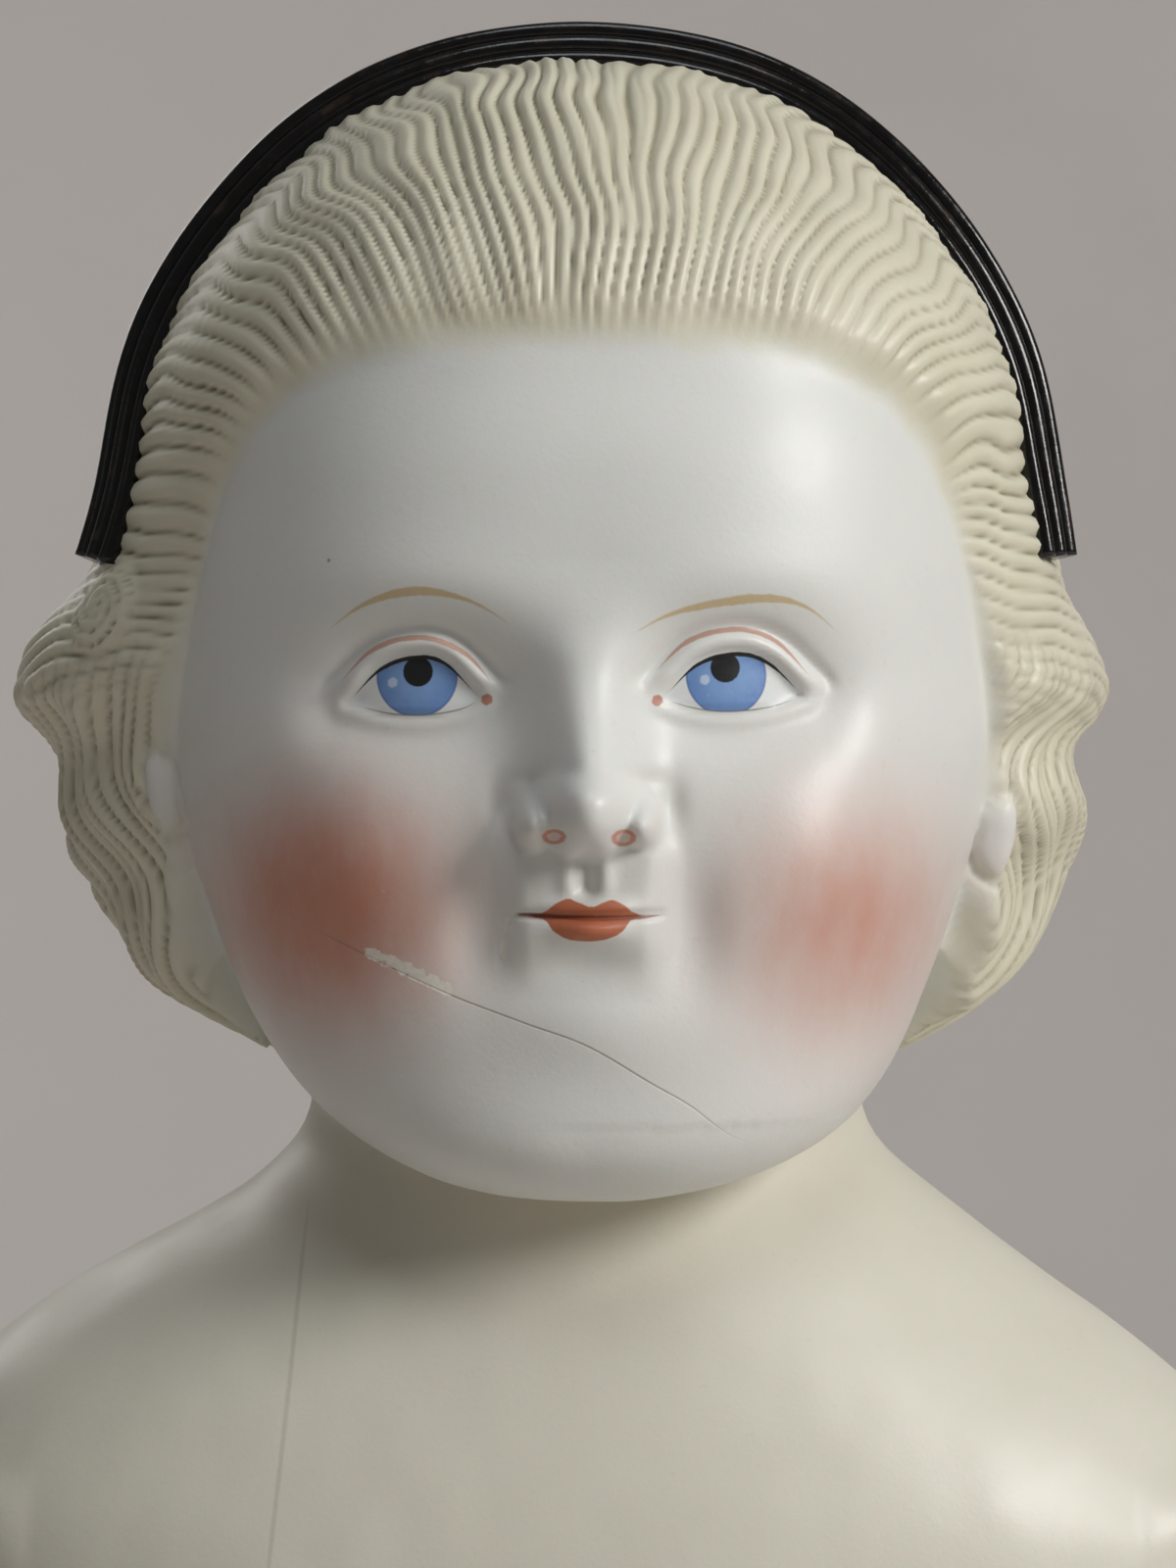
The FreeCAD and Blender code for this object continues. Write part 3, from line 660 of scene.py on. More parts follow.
def make_head():
    skin, hair, row = head_form()
    shape = skin.shape[:2]
    flat = skin.reshape(-1, 3)
    a = FACE_RADIUS * np.arctan2(flat[:, 0], -flat[:, 1])
    line = np.array(HAIRLINE + [(140.0, 217.2), (140.0, 120.0), (0.0, 120.0)])
    line = np.vstack([line, line[::-1] * (-1, 1)])
    hair_side = outline_distance(line, a, flat[:, 2])
    ear = ear_field(a, flat[:, 2])
    hair_side = np.where(row.ravel() < 8.5, -20.0, hair_side)
    wavy = hair_side + 0.5 * lattice_noise(flat, 5.0, 5)
    hair_side = np.minimum(hair_side, (ear - 0.9) * 5.0)
    reach = 1.4 + 3.0 * ramp(flat[:, 2], 262.0, 278.0)
    cover = ramp(wavy / reach, -0.3, 1.0)[:, None]
    p = flat * (1 - cover) + hair.reshape(-1, 3) * cover
    p = lean(p)
    p = lower_plate_edge(p, row.ravel())
    normal = grid_normals(p.reshape(*shape, 3)).reshape(-1, 3)

    front = ramp(p[:, 1], -8.0, -20.0) * ramp(p[:, 2], 204.0, 209.0) * (1 - cover[:, 0])
    relief = face_relief(p[:, 0], p[:, 2]) * front
    p = p + relief[:, None] * np.array((0.0, -1.0, 0.0))
    # the second value is the dirt and painted shade for the hair's grooves
    strands, groove_dirt_and_shade = hair_relief(p, np.minimum(wavy, (ear - 1.0) * 5.0))
    p = p + (strands * cover[:, 0])[:, None] * normal
    lobe = 1.0 * np.sqrt(np.clip(1.0 - ear**2, 0, 1)) - 0.3 * ramp(np.abs(ear - 1.2), 0.3, 0.0)
    p = p + lobe[:, None] * normal
    uneven = 0.18 * lattice_noise(p, 13.0, 6) + 0.06 * lattice_noise(p, 4.0, 7)
    p = p + (uneven * (p[:, 2] < 214))[:, None] * normal

    rings = p.reshape(*shape, 3)
    rim = rings[:1] - np.array((0.0, 0.0, 0.9)) * 0
    under = inner_wall(rings)
    rings = np.concatenate([under, rings])
    head = tube_object("doll_head", rings, cap_start=False)
    skip = under.shape[0] * shape[1]
    paint_fields(head, p, a, hair_side, groove_dirt_and_shade * cover[:, 0], row.ravel(), skip)
    return head, rings[under.shape[0]:]


def lean(p):
    """The head sits a little to one side of the neck, and one shoulder is a little lower."""
    x, y, z = p.T
    shift = 0.6 * ramp(z, 160.0, 205.0) * ramp(z, 225.0, 212.0)
    left_roll = 1.6 * ramp(z, 232.0, 250.0) * ramp(z, 268.0, 256.0) * ramp(np.abs(x), 36.0, 50.0)
    shoulder = -0.030 * x * ramp(z, 163.0, 178.0) * ramp(z, 207.0, 195.0)
    return np.stack([x + shift - left_roll, y, z + shoulder], axis=1)


def lower_plate_edge(p, row):
    """Squeezes the plate's lowest rows up to its arched edge."""
    low = ramp(row, 2.6, 0.0)
    edge = plate_edge_z(p[:, 0])
    base = 160.0
    lifted = base + (p[:, 2] - base)
    span = np.clip((lifted - base) / 22.0, 0, 1)
    p = p.copy()
    target = edge + (182.0 - edge) * span
    p[:, 2] = np.where(p[:, 2] < 182.0, target, p[:, 2]) * (low > -1)
    return p


def inner_wall(rings):
    """Rows up the inside of the plate, under a rounded edge."""
    edge = rings[0]
    middle = np.array((0.0, -1.0, 0.0))
    inward = (edge - middle) * (1, 1, 0)
    inward = -inward / np.linalg.norm(inward, axis=1, keepdims=True)
    rows = []
    for depth, rise in ((WALL, 9.0), (WALL, 4.0), (WALL, 1.0), (WALL - 0.5, 0.1), (WALL - 1.3, -0.3), (1.0, -0.25), (0.3, -0.1)):
        rows.append(edge + inward * depth + (0, 0, rise))
    return np.array(rows)


def paint_fields(head, p, a, hair_side, strands, row, skip):
    """Stores what the head's material reads: painted lines, irises, lips, blush, and the dirt and painted shade in the
    hair's grooves.
    """
    x, z = p[:, 0], p[:, 2]
    front = p[:, 1] < -12.0

    def store(name, values, away=99.0):
        values = np.asarray(values, float)
        blank = np.full(values.shape, away)
        if values.ndim == 2:
            blank[:, 1] = 0.0
        values = np.where(front if values.ndim == 1 else front[:, None], values, blank)
        pad = np.repeat(blank[:1], skip, axis=0)
        attribute(head, name, np.concatenate([pad, values]))

    def store_all(name, values, first):
        attribute(head, name, np.concatenate([np.full(skip, first), values]))

    is_right = (x > 0)[:, None]
    for name, key, width, taper in (
        ("lid_upper", "upper", 0.19, (0.35, 0.35)),
        ("lid_lower", "lower", 0.07, (0.3, 0.3)),
        ("crease", "crease", 0.24, (0.3, 0.3)),
        ("brow", "brow", 0.42, (0.5, 0.6)),
    ):
        fields = [brush_line(getattr(eye, key), x, z, width, taper) for eye in EYES]
        store(name, np.where(is_right, fields[1], fields[0]))
    for name, key in (("pupil", "pupil"), ("glint", "glint"), ("tear", "tear"), ("iris", "iris")):
        near = [np.hypot(x - getattr(eye, key)[0], z - getattr(eye, key)[1]) for eye in EYES]
        store(name, np.minimum(*near))
    store("opening", np.minimum(*(outline_distance(eye.opening(), x, z) for eye in EYES)))
    store("lips", outline_distance(curve(LIPS + LIPS[:1], 160)[:-1], x, z))
    store("mouth_line", brush_line([(-6.6, 232.15), (-3.6, 231.95), (0.0, 231.7), (3.6, 231.75), (6.4, 231.95)], x, z, 0.17, (0.2, 0.2)))
    store("nostril", np.minimum(np.hypot((x + 2.95) / 0.95, (z - 238.6) / 0.6), np.hypot((x - 2.85) / 1.0, (z - 238.5) / 0.68)))
    store("crack", brush_line(CRACK, x, z, 0.06, (0.08, 0.45)))
    store("mould_line", brush_line([(-25.0, 206.0), (-26.0, 190.0), (-28.0, 170.0)][::-1], x, z, 0.2, (0.2, 0.2)))
    store("chip", 1.0 - np.maximum(chip_beside_mouth(x, z), ramp(nearest_on(np.array(CRACK[1:3]), x, z - 0.4)[0], 0.8, 0.3)))
    blush = 1.05 * bump(x, z, -22.5, 232.6, 12.0, 11.4) + 0.76 * bump(x, z, 22.4, 231.0, 12.4, 12.2)
    store("blush", blush, 0.0)
    store_all("hair_side", hair_side, -20.0)
    # strands here is how dark the hair's grooves are painted: dirt and painted shade
    store_all("groove", strands, 0.0)
    store_all("row", row, 0.0)


CRACK = [(-24.2, 231.0), (-18.4, 228.2), (-11.8, 225.2), (-5.5, 222.9), (-0.2, 221.0), (5.2, 217.8), (8.6, 215.8), (12.6, 212.9), (18.6, 210.8)]


def bisque_paint():
    """Unglazed white bisque with everything that is painted on the head."""
    g = Paint("painted_bisque")
    blotch, speckle = g.noise(22.0), g.noise(0.8, 4.0)
    white = g.mix(blotch, rgb(216, 218, 214), rgb(228, 229, 225))
    cream = g.mix(blotch, rgb(213, 210, 194), rgb(224, 221, 207))
    hair = g.mix(g.noise(9.0), rgb(207, 203, 179), rgb(224, 220, 200))
    row = g.math("ADD", g.read("row"), g.math("MULTIPLY", g.math("SUBTRACT", g.noise(6.0), 0.5), 0.5))
    colour = g.mix(g.step(row, 11.0, 9.9), white, cream)
    blush = g.math("MULTIPLY", g.read("blush"), g.step(g.noise(3.2, 4.0, 0.6, (1.3, 1, 0.6)), 0.2, 0.8, 0.90, 1.10))
    colour = g.mix(g.step(blush, -0.10, 1.15, 0.0, 0.80), colour, rgb(192, 98, 50))
    edge = g.math("ADD", g.read("hair_side"), g.math("MULTIPLY", g.math("SUBTRACT", g.noise(3.0), 0.5), 2.2))
    # dirt and painted shade in the hair's grooves
    hair = g.mix(g.math("MULTIPLY", g.read("groove"), 0.8), hair, rgb(122, 108, 74))
    colour = g.mix(g.step(edge, -1.2, 2.4), colour, hair)

    # eyes
    opening = g.read("opening")
    iris = g.read("iris")
    in_eye = g.step(opening, 0.02, -0.06)
    colour = g.mix(g.math("MULTIPLY", in_eye, 0.8), colour, rgb(226, 229, 229))
    blue = g.mix(g.step(iris, 1.2, 3.4), rgb(122, 158, 208), rgb(94, 132, 190))
    blue = g.mix(g.math("MULTIPLY", g.noise(1.0), 0.35), blue, rgb(150, 184, 228))
    colour = g.mix(g.product(in_eye, g.step(iris, 3.52, 3.40)), colour, blue)
    colour = g.mix(g.product(in_eye, g.step(g.math("ABSOLUTE", g.math("SUBTRACT", iris, 3.42)), 0.16, 0.04, 0.0, 0.55)), colour, rgb(70, 100, 160))
    colour = g.mix(g.product(in_eye, g.step(g.read("pupil"), 1.36, 1.22)), colour, rgb(8, 8, 10))
    colour = g.mix(g.step(g.read("glint"), 0.55, 0.35, 0.0, 0.55), colour, rgb(226, 234, 244))

    def stroke(name, tone, strength=1.0, blur=0.06):
        """Paints a brush line: full inside its half width, fading over blur."""
        nonlocal colour
        off = g.math("ABSOLUTE", g.read(name, "x"))
        ragged = g.math("MULTIPLY", g.read(name, "y"), g.step(g.noise(0.7), 0.2, 0.8, 0.8, 1.1))
        amount = g.step(g.math("SUBTRACT", off, ragged), blur * 0.5, -blur * 0.5, 0.0, strength)
        exists = g.step(g.read(name, "y"), 0.0, 0.03)
        colour = g.mix(g.product(amount, exists), colour, tone)

    stroke("crease", rgb(184, 122, 92), 0.72, 0.14)
    stroke("brow", rgb(196, 170, 116), 0.8, 0.22)
    stroke("lid_lower", rgb(74, 60, 54), 0.6, 0.08)
    stroke("lid_upper", rgb(10, 8, 9), 1.0, 0.08)
    colour = g.mix(g.step(g.read("tear"), 0.6, 0.42, 0.0, 0.85), colour, rgb(178, 108, 82))

    # nose and mouth
    nostril = g.read("nostril")
    colour = g.mix(g.step(g.math("ABSOLUTE", g.math("SUBTRACT", nostril, 0.85)), 0.35, 0.1, 0.0, 0.8), colour, rgb(196, 118, 88))
    colour = g.mix(g.step(nostril, 0.8, 0.4, 0.0, 0.35), colour, rgb(190, 110, 84))
    lips = g.math("ADD", g.read("lips"), g.math("MULTIPLY", g.math("SUBTRACT", g.noise(0.9), 0.5), 0.18))
    red = g.mix(g.noise(1.6), rgb(166, 80, 36), rgb(190, 102, 56))
    colour = g.mix(g.step(lips, 0.06, -0.08, 0.0, 0.95), colour, red)

    stroke("mouth_line", rgb(138, 66, 34), 0.85, 0.12)

    # age: the crack with a dirty edge, chips that show the white paste, specks and blotches of dust
    stroke("crack", rgb(140, 126, 106), 0.75, 0.12)
    stroke("mould_line", rgb(168, 162, 142), 0.35, 0.3)
    chip = g.math("ADD", g.read("chip"), g.math("MULTIPLY", g.math("SUBTRACT", g.noise(0.9, 3.0, 0.6), 0.5), 2.4))
    colour = g.mix(g.step(chip, 0.55, 0.25, 0.0, 0.85), colour, g.mix(g.noise(0.5), rgb(206, 200, 184), rgb(240, 238, 230)))
    speck = g.node("ShaderNodeTexVoronoi", feature="F1")
    speck.inputs["Scale"].default_value = 1 / (15 * MM)
    g.tree.links.new(g.place, speck.inputs["Vector"])
    colour = g.mix(g.step(speck.outputs["Distance"], 0.020, 0.012, 0.0, 0.6), colour, rgb(70, 62, 58))
    grime = g.step(g.noise(1.4, 5.0, 0.7), 0.60, 0.78, 0.0, 0.16)
    colour = g.mix(grime, colour, rgb(170, 156, 128))

    rough = g.step(g.noise(9.0), 0.3, 0.7, 0.42, 0.52)
    height = g.math("ADD", g.math("MULTIPLY", speckle, 0.5), g.math("MULTIPLY", g.noise(0.35, 2.0), 0.35))
    crack_dip = g.step(g.math("ABSOLUTE", g.read("crack", "x")), 0.0, 0.16, -1.0, 0.0)
    height = g.math("ADD", height, g.product(crack_dip, g.step(g.read("crack", "y"), 0.0, 0.04)))
    return g.finish(
        colour, rough, height, 0.035, Coat_Weight=0.12, Coat_Roughness=0.28,
        Subsurface_Weight=0.12, Subsurface_Scale=0.0015,
    )


# ---- the hair band ------------------------------------------------------------------------------
BAND_WIDTH, BAND_Y, BAND_END_Z = 5.5, -9.0, 263.5


def make_band(rings):
    """Three glazed beads laid over the hair, following its surface from one side to the other."""
    points = rings.reshape(-1, 3)
    tree = BVHTree.FromPolygons([Vector(p) for p in points.tolist()], grid_faces(*rings.shape[:2]).tolist())
    centre = np.array((0.0, 0.0, 250.0))
    samples = []
    for turn in np.linspace(-1.49, 1.49, 181):
        lean_back = BAND_Y + 3.0 * math.cos(turn)
        direction = Vector((math.sin(turn), 0.0, math.cos(turn)))
        start = Vector((centre[0], lean_back, centre[2])) + direction * 90
        hit = tree.ray_cast(start, -direction)[0]
        samples.append(hit)
    path = np.array([tuple(s) for s in samples])
    keep = (path[:, 2] > BAND_END_Z)
    path = path[keep]
    kernel = np.hanning(25)
    kernel /= kernel.sum()
    padded = np.vstack([path[:1] + (path[:1] - path[1:13][::-1]), path, path[-1:] + (path[-1:] - path[-13:-1][::-1])])
    path = np.stack([np.convolve(padded[:, k], kernel, "valid") for k in range(3)], axis=1)
    path = curve(path, 260)
    along = np.gradient(path, axis=0)
    along /= np.linalg.norm(along, axis=1, keepdims=True)
    front = np.tile(np.array((0.0, -1.0, 0.0)), (len(path), 1))
    front -= (front * along).sum(axis=1, keepdims=True) * along
    front /= np.linalg.norm(front, axis=1, keepdims=True)
    out = np.cross(along, front)
    out *= np.sign((out * (path - centre)).sum(axis=1, keepdims=True))
    up = np.clip((path[:, 2:] - BAND_END_Z) / 48.0, 0, 1)
    tilt = np.radians(42.0 + 18.0 * up)  # it stands up from the hair, more so over the crown
    front, out = front * np.cos(tilt) - out * np.sin(tilt), out * np.cos(tilt) + front * np.sin(tilt)
    path = path + (path - centre) / np.linalg.norm(path - centre, axis=1, keepdims=True) * (0.3 + 0.8 * up)
    # cross-section: three beads above, flat below; u across the band, v out of the hair
    u = np.linspace(-1, 1, 61)
    beads = 0.55 + 0.62 * np.abs(np.cos(1.5 * math.pi * u)) ** 0.6 * np.where(np.abs(u) < 1 / 3, 1.12, 1.0)
    edge = np.sqrt(np.clip(1 - np.abs(u) ** 10, 0, 1))
    top = np.stack([u, beads * edge], axis=1)
    bottom = np.stack([u[::-1][1:-1], np.full(59, -1.9)], axis=1)
    outline = np.vstack([top, bottom])
    wobble = 1 + 0.03 * lattice_noise(path, 7.0, 8)
    rings = (
        path[:, None, :]
        + front[:, None, :] * (outline[None, :, 0:1] * BAND_WIDTH / 2 * wobble[:, None, None])
        + out[:, None, :] * (outline[None, :, 1:2] * 1.0 + 0.6)
    )
    band = tube_object("glazed_hair_band", rings)
    height = np.tile(outline[:, 1], len(path))
    attribute(band, "bead", height)
    return band


def glaze_paint():
    g = Paint("black_glaze")
    colour = g.mix(g.noise(3.0), rgb(7, 6, 6), rgb(14, 11, 10))
    worn = g.product(g.step(g.read("bead"), 1.0, 1.3), g.step(g.noise(2.5, 5.0), 0.55, 0.7))
    colour = g.mix(g.math("MULTIPLY", worn, 0.5), colour, rgb(70, 52, 42))
    rough = g.step(g.noise(2.0, 4.0), 0.3, 0.75, 0.12, 0.34)
    return g.finish(colour, rough, g.noise(1.2, 4.0), 0.06, Coat_Weight=0.35, Coat_Roughness=0.10, Specular_IOR_Level=0.35)


# ---- pieces put together from several surfaces ---------------------------------------------------
class Piece:
    """Surfaces gathered into one mesh, each with its own material and its own stored values."""

    def __init__(self):
        self.points, self.faces, self.slots, self.fields, self.count = [], [], [], [], 0

    def add(self, points, faces, slot=0, **fields):
        points = np.asarray(points, float).reshape(-1, 3)
        self.points.append(points)
        self.faces += [[int(i) + self.count for i in face] for face in faces]
        self.slots += [slot] * len(faces)
        self.fields.append((len(points), fields))
        self.count += len(points)

    def add_rings(self, rings, slot=0, caps=(True, True), **fields):
        rows, cols = rings.shape[:2]
        faces = grid_faces(rows, cols).tolist()
        points, values = [rings.reshape(-1, 3)], {k: [np.asarray(v, float)] for k, v in fields.items()}
        for wanted, row in zip(caps, (0, rows - 1)):
            if wanted:
                middle = rows * cols + len(points) - 1
                base = row * cols
                points.append(rings[row].mean(axis=0)[None])
                for value in values.values():
                    value.append(value[0][base : base + cols].mean(axis=0)[None])
                turn = 1 if row else -1
                faces += [[middle, base + c, base + (c + 1) % cols][::turn] for c in range(cols)]
        self.add(np.vstack(points), faces, slot, **{k: np.concatenate(v) for k, v in values.items()})

    def make(self, name, materials, side=1):
        points = np.vstack(self.points)
        points[:, 0] *= side
        faces = self.faces if side > 0 else [face[::-1] for face in self.faces]
        obj = as_object(name, points, faces)
        for key, width in (("weave", 3), ("fold", 1)):
            values = [
                np.asarray(fields.get(key, np.zeros((n, width) if width > 1 else n))) for n, fields in self.fields
            ]
            attribute(obj, key, np.concatenate(values))
        for material in materials:
            obj.data.materials.append(material)
        obj.data.polygons.foreach_set("material_index", self.slots)
        return obj


def thread_rings(path, radius, pitch=2.2, cols=10, plies=3, closed=False):
    """A twisted thread along a path."""
    path = np.asarray(path, float)
    along = np.gradient(path, axis=0)
    along /= np.maximum(np.linalg.norm(along, axis=1, keepdims=True), 1e-9)
    run = np.concatenate([[0], np.cumsum(np.linalg.norm(np.diff(path, axis=0), axis=1))])
    side = np.cross(along, (0.31, 0.23, 0.92))
    side /= np.maximum(np.linalg.norm(side, axis=1, keepdims=True), 1e-9)
    other = np.cross(along, side)
    t = np.linspace(0, 2 * math.pi, cols, endpoint=False)
    twist = 1 + 0.16 * np.abs(np.cos(plies / 2 * (t[None, :] - 2 * math.pi * run[:, None] / pitch)))
    r = (radius / 1.1) * twist
    return path[:, None] + side[:, None] * (r * np.cos(t))[..., None] + other[:, None] * (r * np.sin(t))[..., None]


def stitch_rings(at, across, out, length=2.6, radius=0.34):
    """One stitch that dips into the cloth at both ends."""
    u = np.linspace(-1, 1, 9)
    path = at + across * (u * length / 2)[:, None] + out * (radius * 0.9 - 1.1 * radius * u**4)[:, None]
    rings = thread_rings(path, radius, 1.6, 8, 2)
    middle = path[:, None]
    return middle + (rings - middle) * np.sqrt(np.clip(1.05 - np.abs(u) ** 6, 0.05, 1))[:, None, None]


def turned_x(p, degrees):
    c, s = math.cos(math.radians(degrees)), math.sin(math.radians(degrees))
    return np.stack([p[..., 0], p[..., 1] * c - p[..., 2] * s, p[..., 1] * s + p[..., 2] * c], axis=-1)


def turned_y(p, degrees):
    c, s = math.cos(math.radians(degrees)), math.sin(math.radians(degrees))
    return np.stack([p[..., 0] * c + p[..., 2] * s, p[..., 1], -p[..., 0] * s + p[..., 2] * c], axis=-1)


# ---- stuffed cotton -----------------------------------------------------------------------------
CLOTH_STEP = 0.8


class Sleeve:
    """A stuffed tube of cotton, hanging down from its seam: rows of length, half width, front, back, roundness."""

    def __init__(self, rows, cols, step=CLOTH_STEP, upward=False):
        dense = curve(rows, 40 * len(rows))
        run = np.concatenate([[0], np.cumsum(np.hypot(np.diff(dense[:, 0]), 0.5 * np.diff(dense[:, 3])))])
        at = np.linspace(0, run[-1], int(run[-1] / step) + 2)
        keys = np.stack([np.interp(at, run, dense[:, k]) for k in range(dense.shape[1])], axis=1)
        self.s, w, front, back, n = (keys[:, k : k + 1] for k in range(5))
        self.t = np.linspace(0, 2 * math.pi, cols, endpoint=False)[None, :]
        c, s = np.cos(self.t), np.sin(self.t)
        x = w * np.sign(c) * np.abs(c) ** (2 / n)
        middle = (front + back) / 2
        y = middle + (back - front) / 2 * np.sign(s) * np.abs(s) ** (2 / n)
        z = np.broadcast_to(self.s if upward else -self.s, x.shape)
        rings = np.stack([x, y, z], axis=2)
        self.rings = rings if upward else rings[::-1]
        self.s = self.s if upward else self.s[::-1]
        self.fold = np.zeros(x.shape)
        gap = np.linalg.norm(np.roll(self.rings, -1, axis=1) - self.rings, axis=2)
        self.around = np.concatenate([np.zeros((len(gap), 1)), np.cumsum(gap, axis=1)[:, :-1]], axis=1)
        self.girth = gap.sum(axis=1, keepdims=True)
        self.seam_lines = []
        self.seam_distance = np.full(x.shape, 99.0)

    def swell(self, amount):
        """Moves the surface out by amount, in millimetres."""
        normal = grid_normals(self.rings)
        self.rings = self.rings + normal * np.asarray(amount)[..., None]
        # how far the surface is pushed in is kept, for painted shade in its creases
        self.fold = self.fold + np.clip(-np.asarray(amount), 0, 1)

    def lumps(self, seed, strength=1.0, broad=1.0):
        """Uneven stuffing, and the soft creases that handling leaves."""
        p = self.rings.reshape(-1, 3)
        shape = self.fold.shape
        amount = 0.42 * broad * lattice_noise(p, 13.0 * broad, seed) + 0.16 * lattice_noise(p, 5.0, seed + 1)
        warp = p + 2.2 * np.stack([lattice_noise(p, 9.0 * broad, seed + k) for k in (2, 3, 4)], axis=1)
        for k, size in enumerate((11.0 * broad, 7.0 * broad)):
            line = lattice_noise(warp * (1.0, 1.0, 1.9), size, seed + 5 + k)
            where = ramp(lattice_noise(p, 16.0 * broad, seed + 7 + k), 0.05, 0.6)
            amount = amount - (0.55 - 0.15 * k) * np.exp(-((line / (0.085 / broad)) ** 2)) * where
            amount = amount + 0.22 * np.exp(-(((np.abs(line) - 0.2) / 0.1) ** 2)) * where
        self.swell(strength * amount.reshape(shape))

    def gathers(self, at, reach, count, depth, seed):
        """Folds that run along the limb and die away from the seam at length at."""
        off = np.abs(self.s - at)
        fade = np.exp(-((off / reach) ** 1.3))
        p = np.stack([np.cos(self.t) * 9 + 0 * off, np.sin(self.t) * 9 + 0 * off, self.s + 0 * self.t], axis=-1)
        sway = lattice_noise(p.reshape(-1, 3), 6.0, seed).reshape(self.fold.shape)
        wave = np.cos(count * self.t + 2.4 * sway)
        self.swell(depth * fade * (0.55 * wave - 0.45 * (1 - np.abs(wave)) ** 2 + 0.3 * sway))

    def tie(self, at, width, depth):
        self.swell(-depth * np.exp(-(((self.s - at) / width) ** 2)) + 0 * self.t)

    def seam(self, t, start=0.0, stop=1e9):
        """A lengthwise seam: a furrow between two soft lips, puckered at each stitch."""
        col = int(round(t / (2 * math.pi) * self.t.size)) % self.t.size
        off = np.abs(self.around - self.around[:, col : col + 1])
        off = np.minimum(off, self.girth - off)
        on = ((self.s > start) & (self.s < stop)) * 1.0
        pucker = 0.20 * np.cos(2 * math.pi * self.s / 3.0) * np.exp(-((off / 3.2) ** 2))
        self.swell(on * (-0.75 * np.exp(-((off / 0.75) ** 2)) + 0.38 * np.exp(-(((off - 1.9) / 1.1) ** 2)) + pucker))
        self.seam_distance = np.minimum(self.seam_distance, np.where(on > 0, off, 99.0))
        self.seam_lines.append((col, start, stop))

    def into(self, piece, place, caps=(True, True)):
        """Adds the cotton and its seam stitches to a piece; place carries points to where they belong."""
        rings = place(self.rings)
        folded = np.minimum(self.around, self.girth - self.around)
        weave = np.stack([folded, self.s + 0 * self.t, self.seam_distance], axis=2).reshape(-1, 3)
        piece.add_rings(rings, 0, caps, weave=weave, fold=self.fold.ravel())
        normal = grid_normals(rings)
        for col, start, stop in self.seam_lines:
            line, out = rings[:, col], normal[:, col]
            run = np.concatenate([[0], np.cumsum(np.linalg.norm(np.diff(line, axis=0), axis=1))])
            s = self.s[:, 0]
            good = (s > start + 1.5) & (s < stop - 1.5)
            if good.sum() < 4:
                continue
            for d in np.arange(run[good].min(), run[good].max(), 3.0):
                k = int(np.argmin(np.abs(run - d)))
                side = rings[k, (col + 1) % self.t.size] - rings[k, col - 1]
                side /= max(np.linalg.norm(side), 1e-9)
                lengthwise = np.cross(out[k], side)
                across = side + 0.45 * lengthwise
                rings_of_stitch = stitch_rings(line[k] + out[k] * 0.35, across / np.linalg.norm(across), out[k])
                piece.add_rings(rings_of_stitch, 1)


def cotton_paint():
    """Unbleached cotton: a plain weave with slubs, browned by handling, with painted shade in its creases and along its
    seams.
    """
    g = Paint("unbleached_cotton")
    across, along, seam = (g.read("weave", k) for k in "xyz")
    thread = 2 * math.pi / 0.62

    def yarn(coordinate, seed_stretch):
        wobble = g.math("MULTIPLY", g.math("SUBTRACT", g.noise(2.6, 2.0, 0.5, seed_stretch), 0.5), 0.9)
        return g.math("COSINE", g.math("MULTIPLY", g.math("ADD", coordinate, wobble), thread))

    warp, weft = yarn(across, (1, 1, 0.3)), yarn(along, (0.3, 0.3, 1))
    over = g.math("SIGN", g.math("MULTIPLY",
        g.math("COSINE", g.math("MULTIPLY", across, thread / 2)), g.math("COSINE", g.math("MULTIPLY", along, thread / 2))))
    weave = g.math("MAXIMUM", g.math("MULTIPLY", warp, g.step(over, -1, 1, 0.55, 1.0)), g.math("MULTIPLY", weft, g.step(over, -1, 1, 1.0, 0.55)))
    slub = g.noise(3.2, 4.0, 0.6, (1, 1, 0.25))
    colour = g.mix(g.noise(38.0), rgb(214, 198, 166), rgb(229, 217, 190))
    colour = g.mix(g.step(slub, 0.45, 0.75, 0.0, 0.35), colour, rgb(236, 228, 208))
    colour = g.mix(g.step(weave, -0.4, 0.9, 0.28, 0.0), colour, rgb(168, 146, 108))
    stain = g.math("MULTIPLY", g.step(g.noise(24.0, 5.0, 0.6), 0.55, 0.72), 0.30)
    colour = g.mix(stain, colour, rgb(178, 146, 98))
    fox = g.step(g.noise(4.0, 2.0, 0.4), 0.74, 0.80, 0.0, 0.4)
    colour = g.mix(fox, colour, rgb(150, 110, 70))
    # painted shade where the cloth is pushed in: creases, seam furrows and ties
    colour = g.mix(g.step(g.read("fold"), 0.15, 1.1, 0.0, 0.38), colour, rgb(150, 124, 86))
    # painted shade along the seam furrows
    colour = g.mix(g.step(seam, 1.6, 0.2, 0.0, 0.35), colour, rgb(142, 118, 84))
    fuzz = g.noise(0.5, 2.0)
    height = g.math("ADD", g.math("MULTIPLY", weave, 0.7), g.math("MULTIPLY", fuzz, 0.5))
    return g.finish(colour, g.step(slub, 0.2, 0.8, 0.96, 0.86), height, 0.11,
                    Sheen_Weight=0.25, Sheen_Roughness=0.6, Specular_IOR_Level=0.25)


def thread_paint(name, low, high):
    g = Paint(name)
    colour = g.mix(g.noise(1.2, 3.0), low, high)
    colour = g.mix(g.step(g.noise(9.0), 0.5, 0.8, 0.0, 0.4), colour, rgb(150, 128, 92))
    return g.finish(colour, g.step(g.noise(0.6), 0.2, 0.8, 0.75, 0.92), g.noise(0.25, 3.0), 0.12, Sheen_Weight=0.3, Sheen_Roughness=0.5)


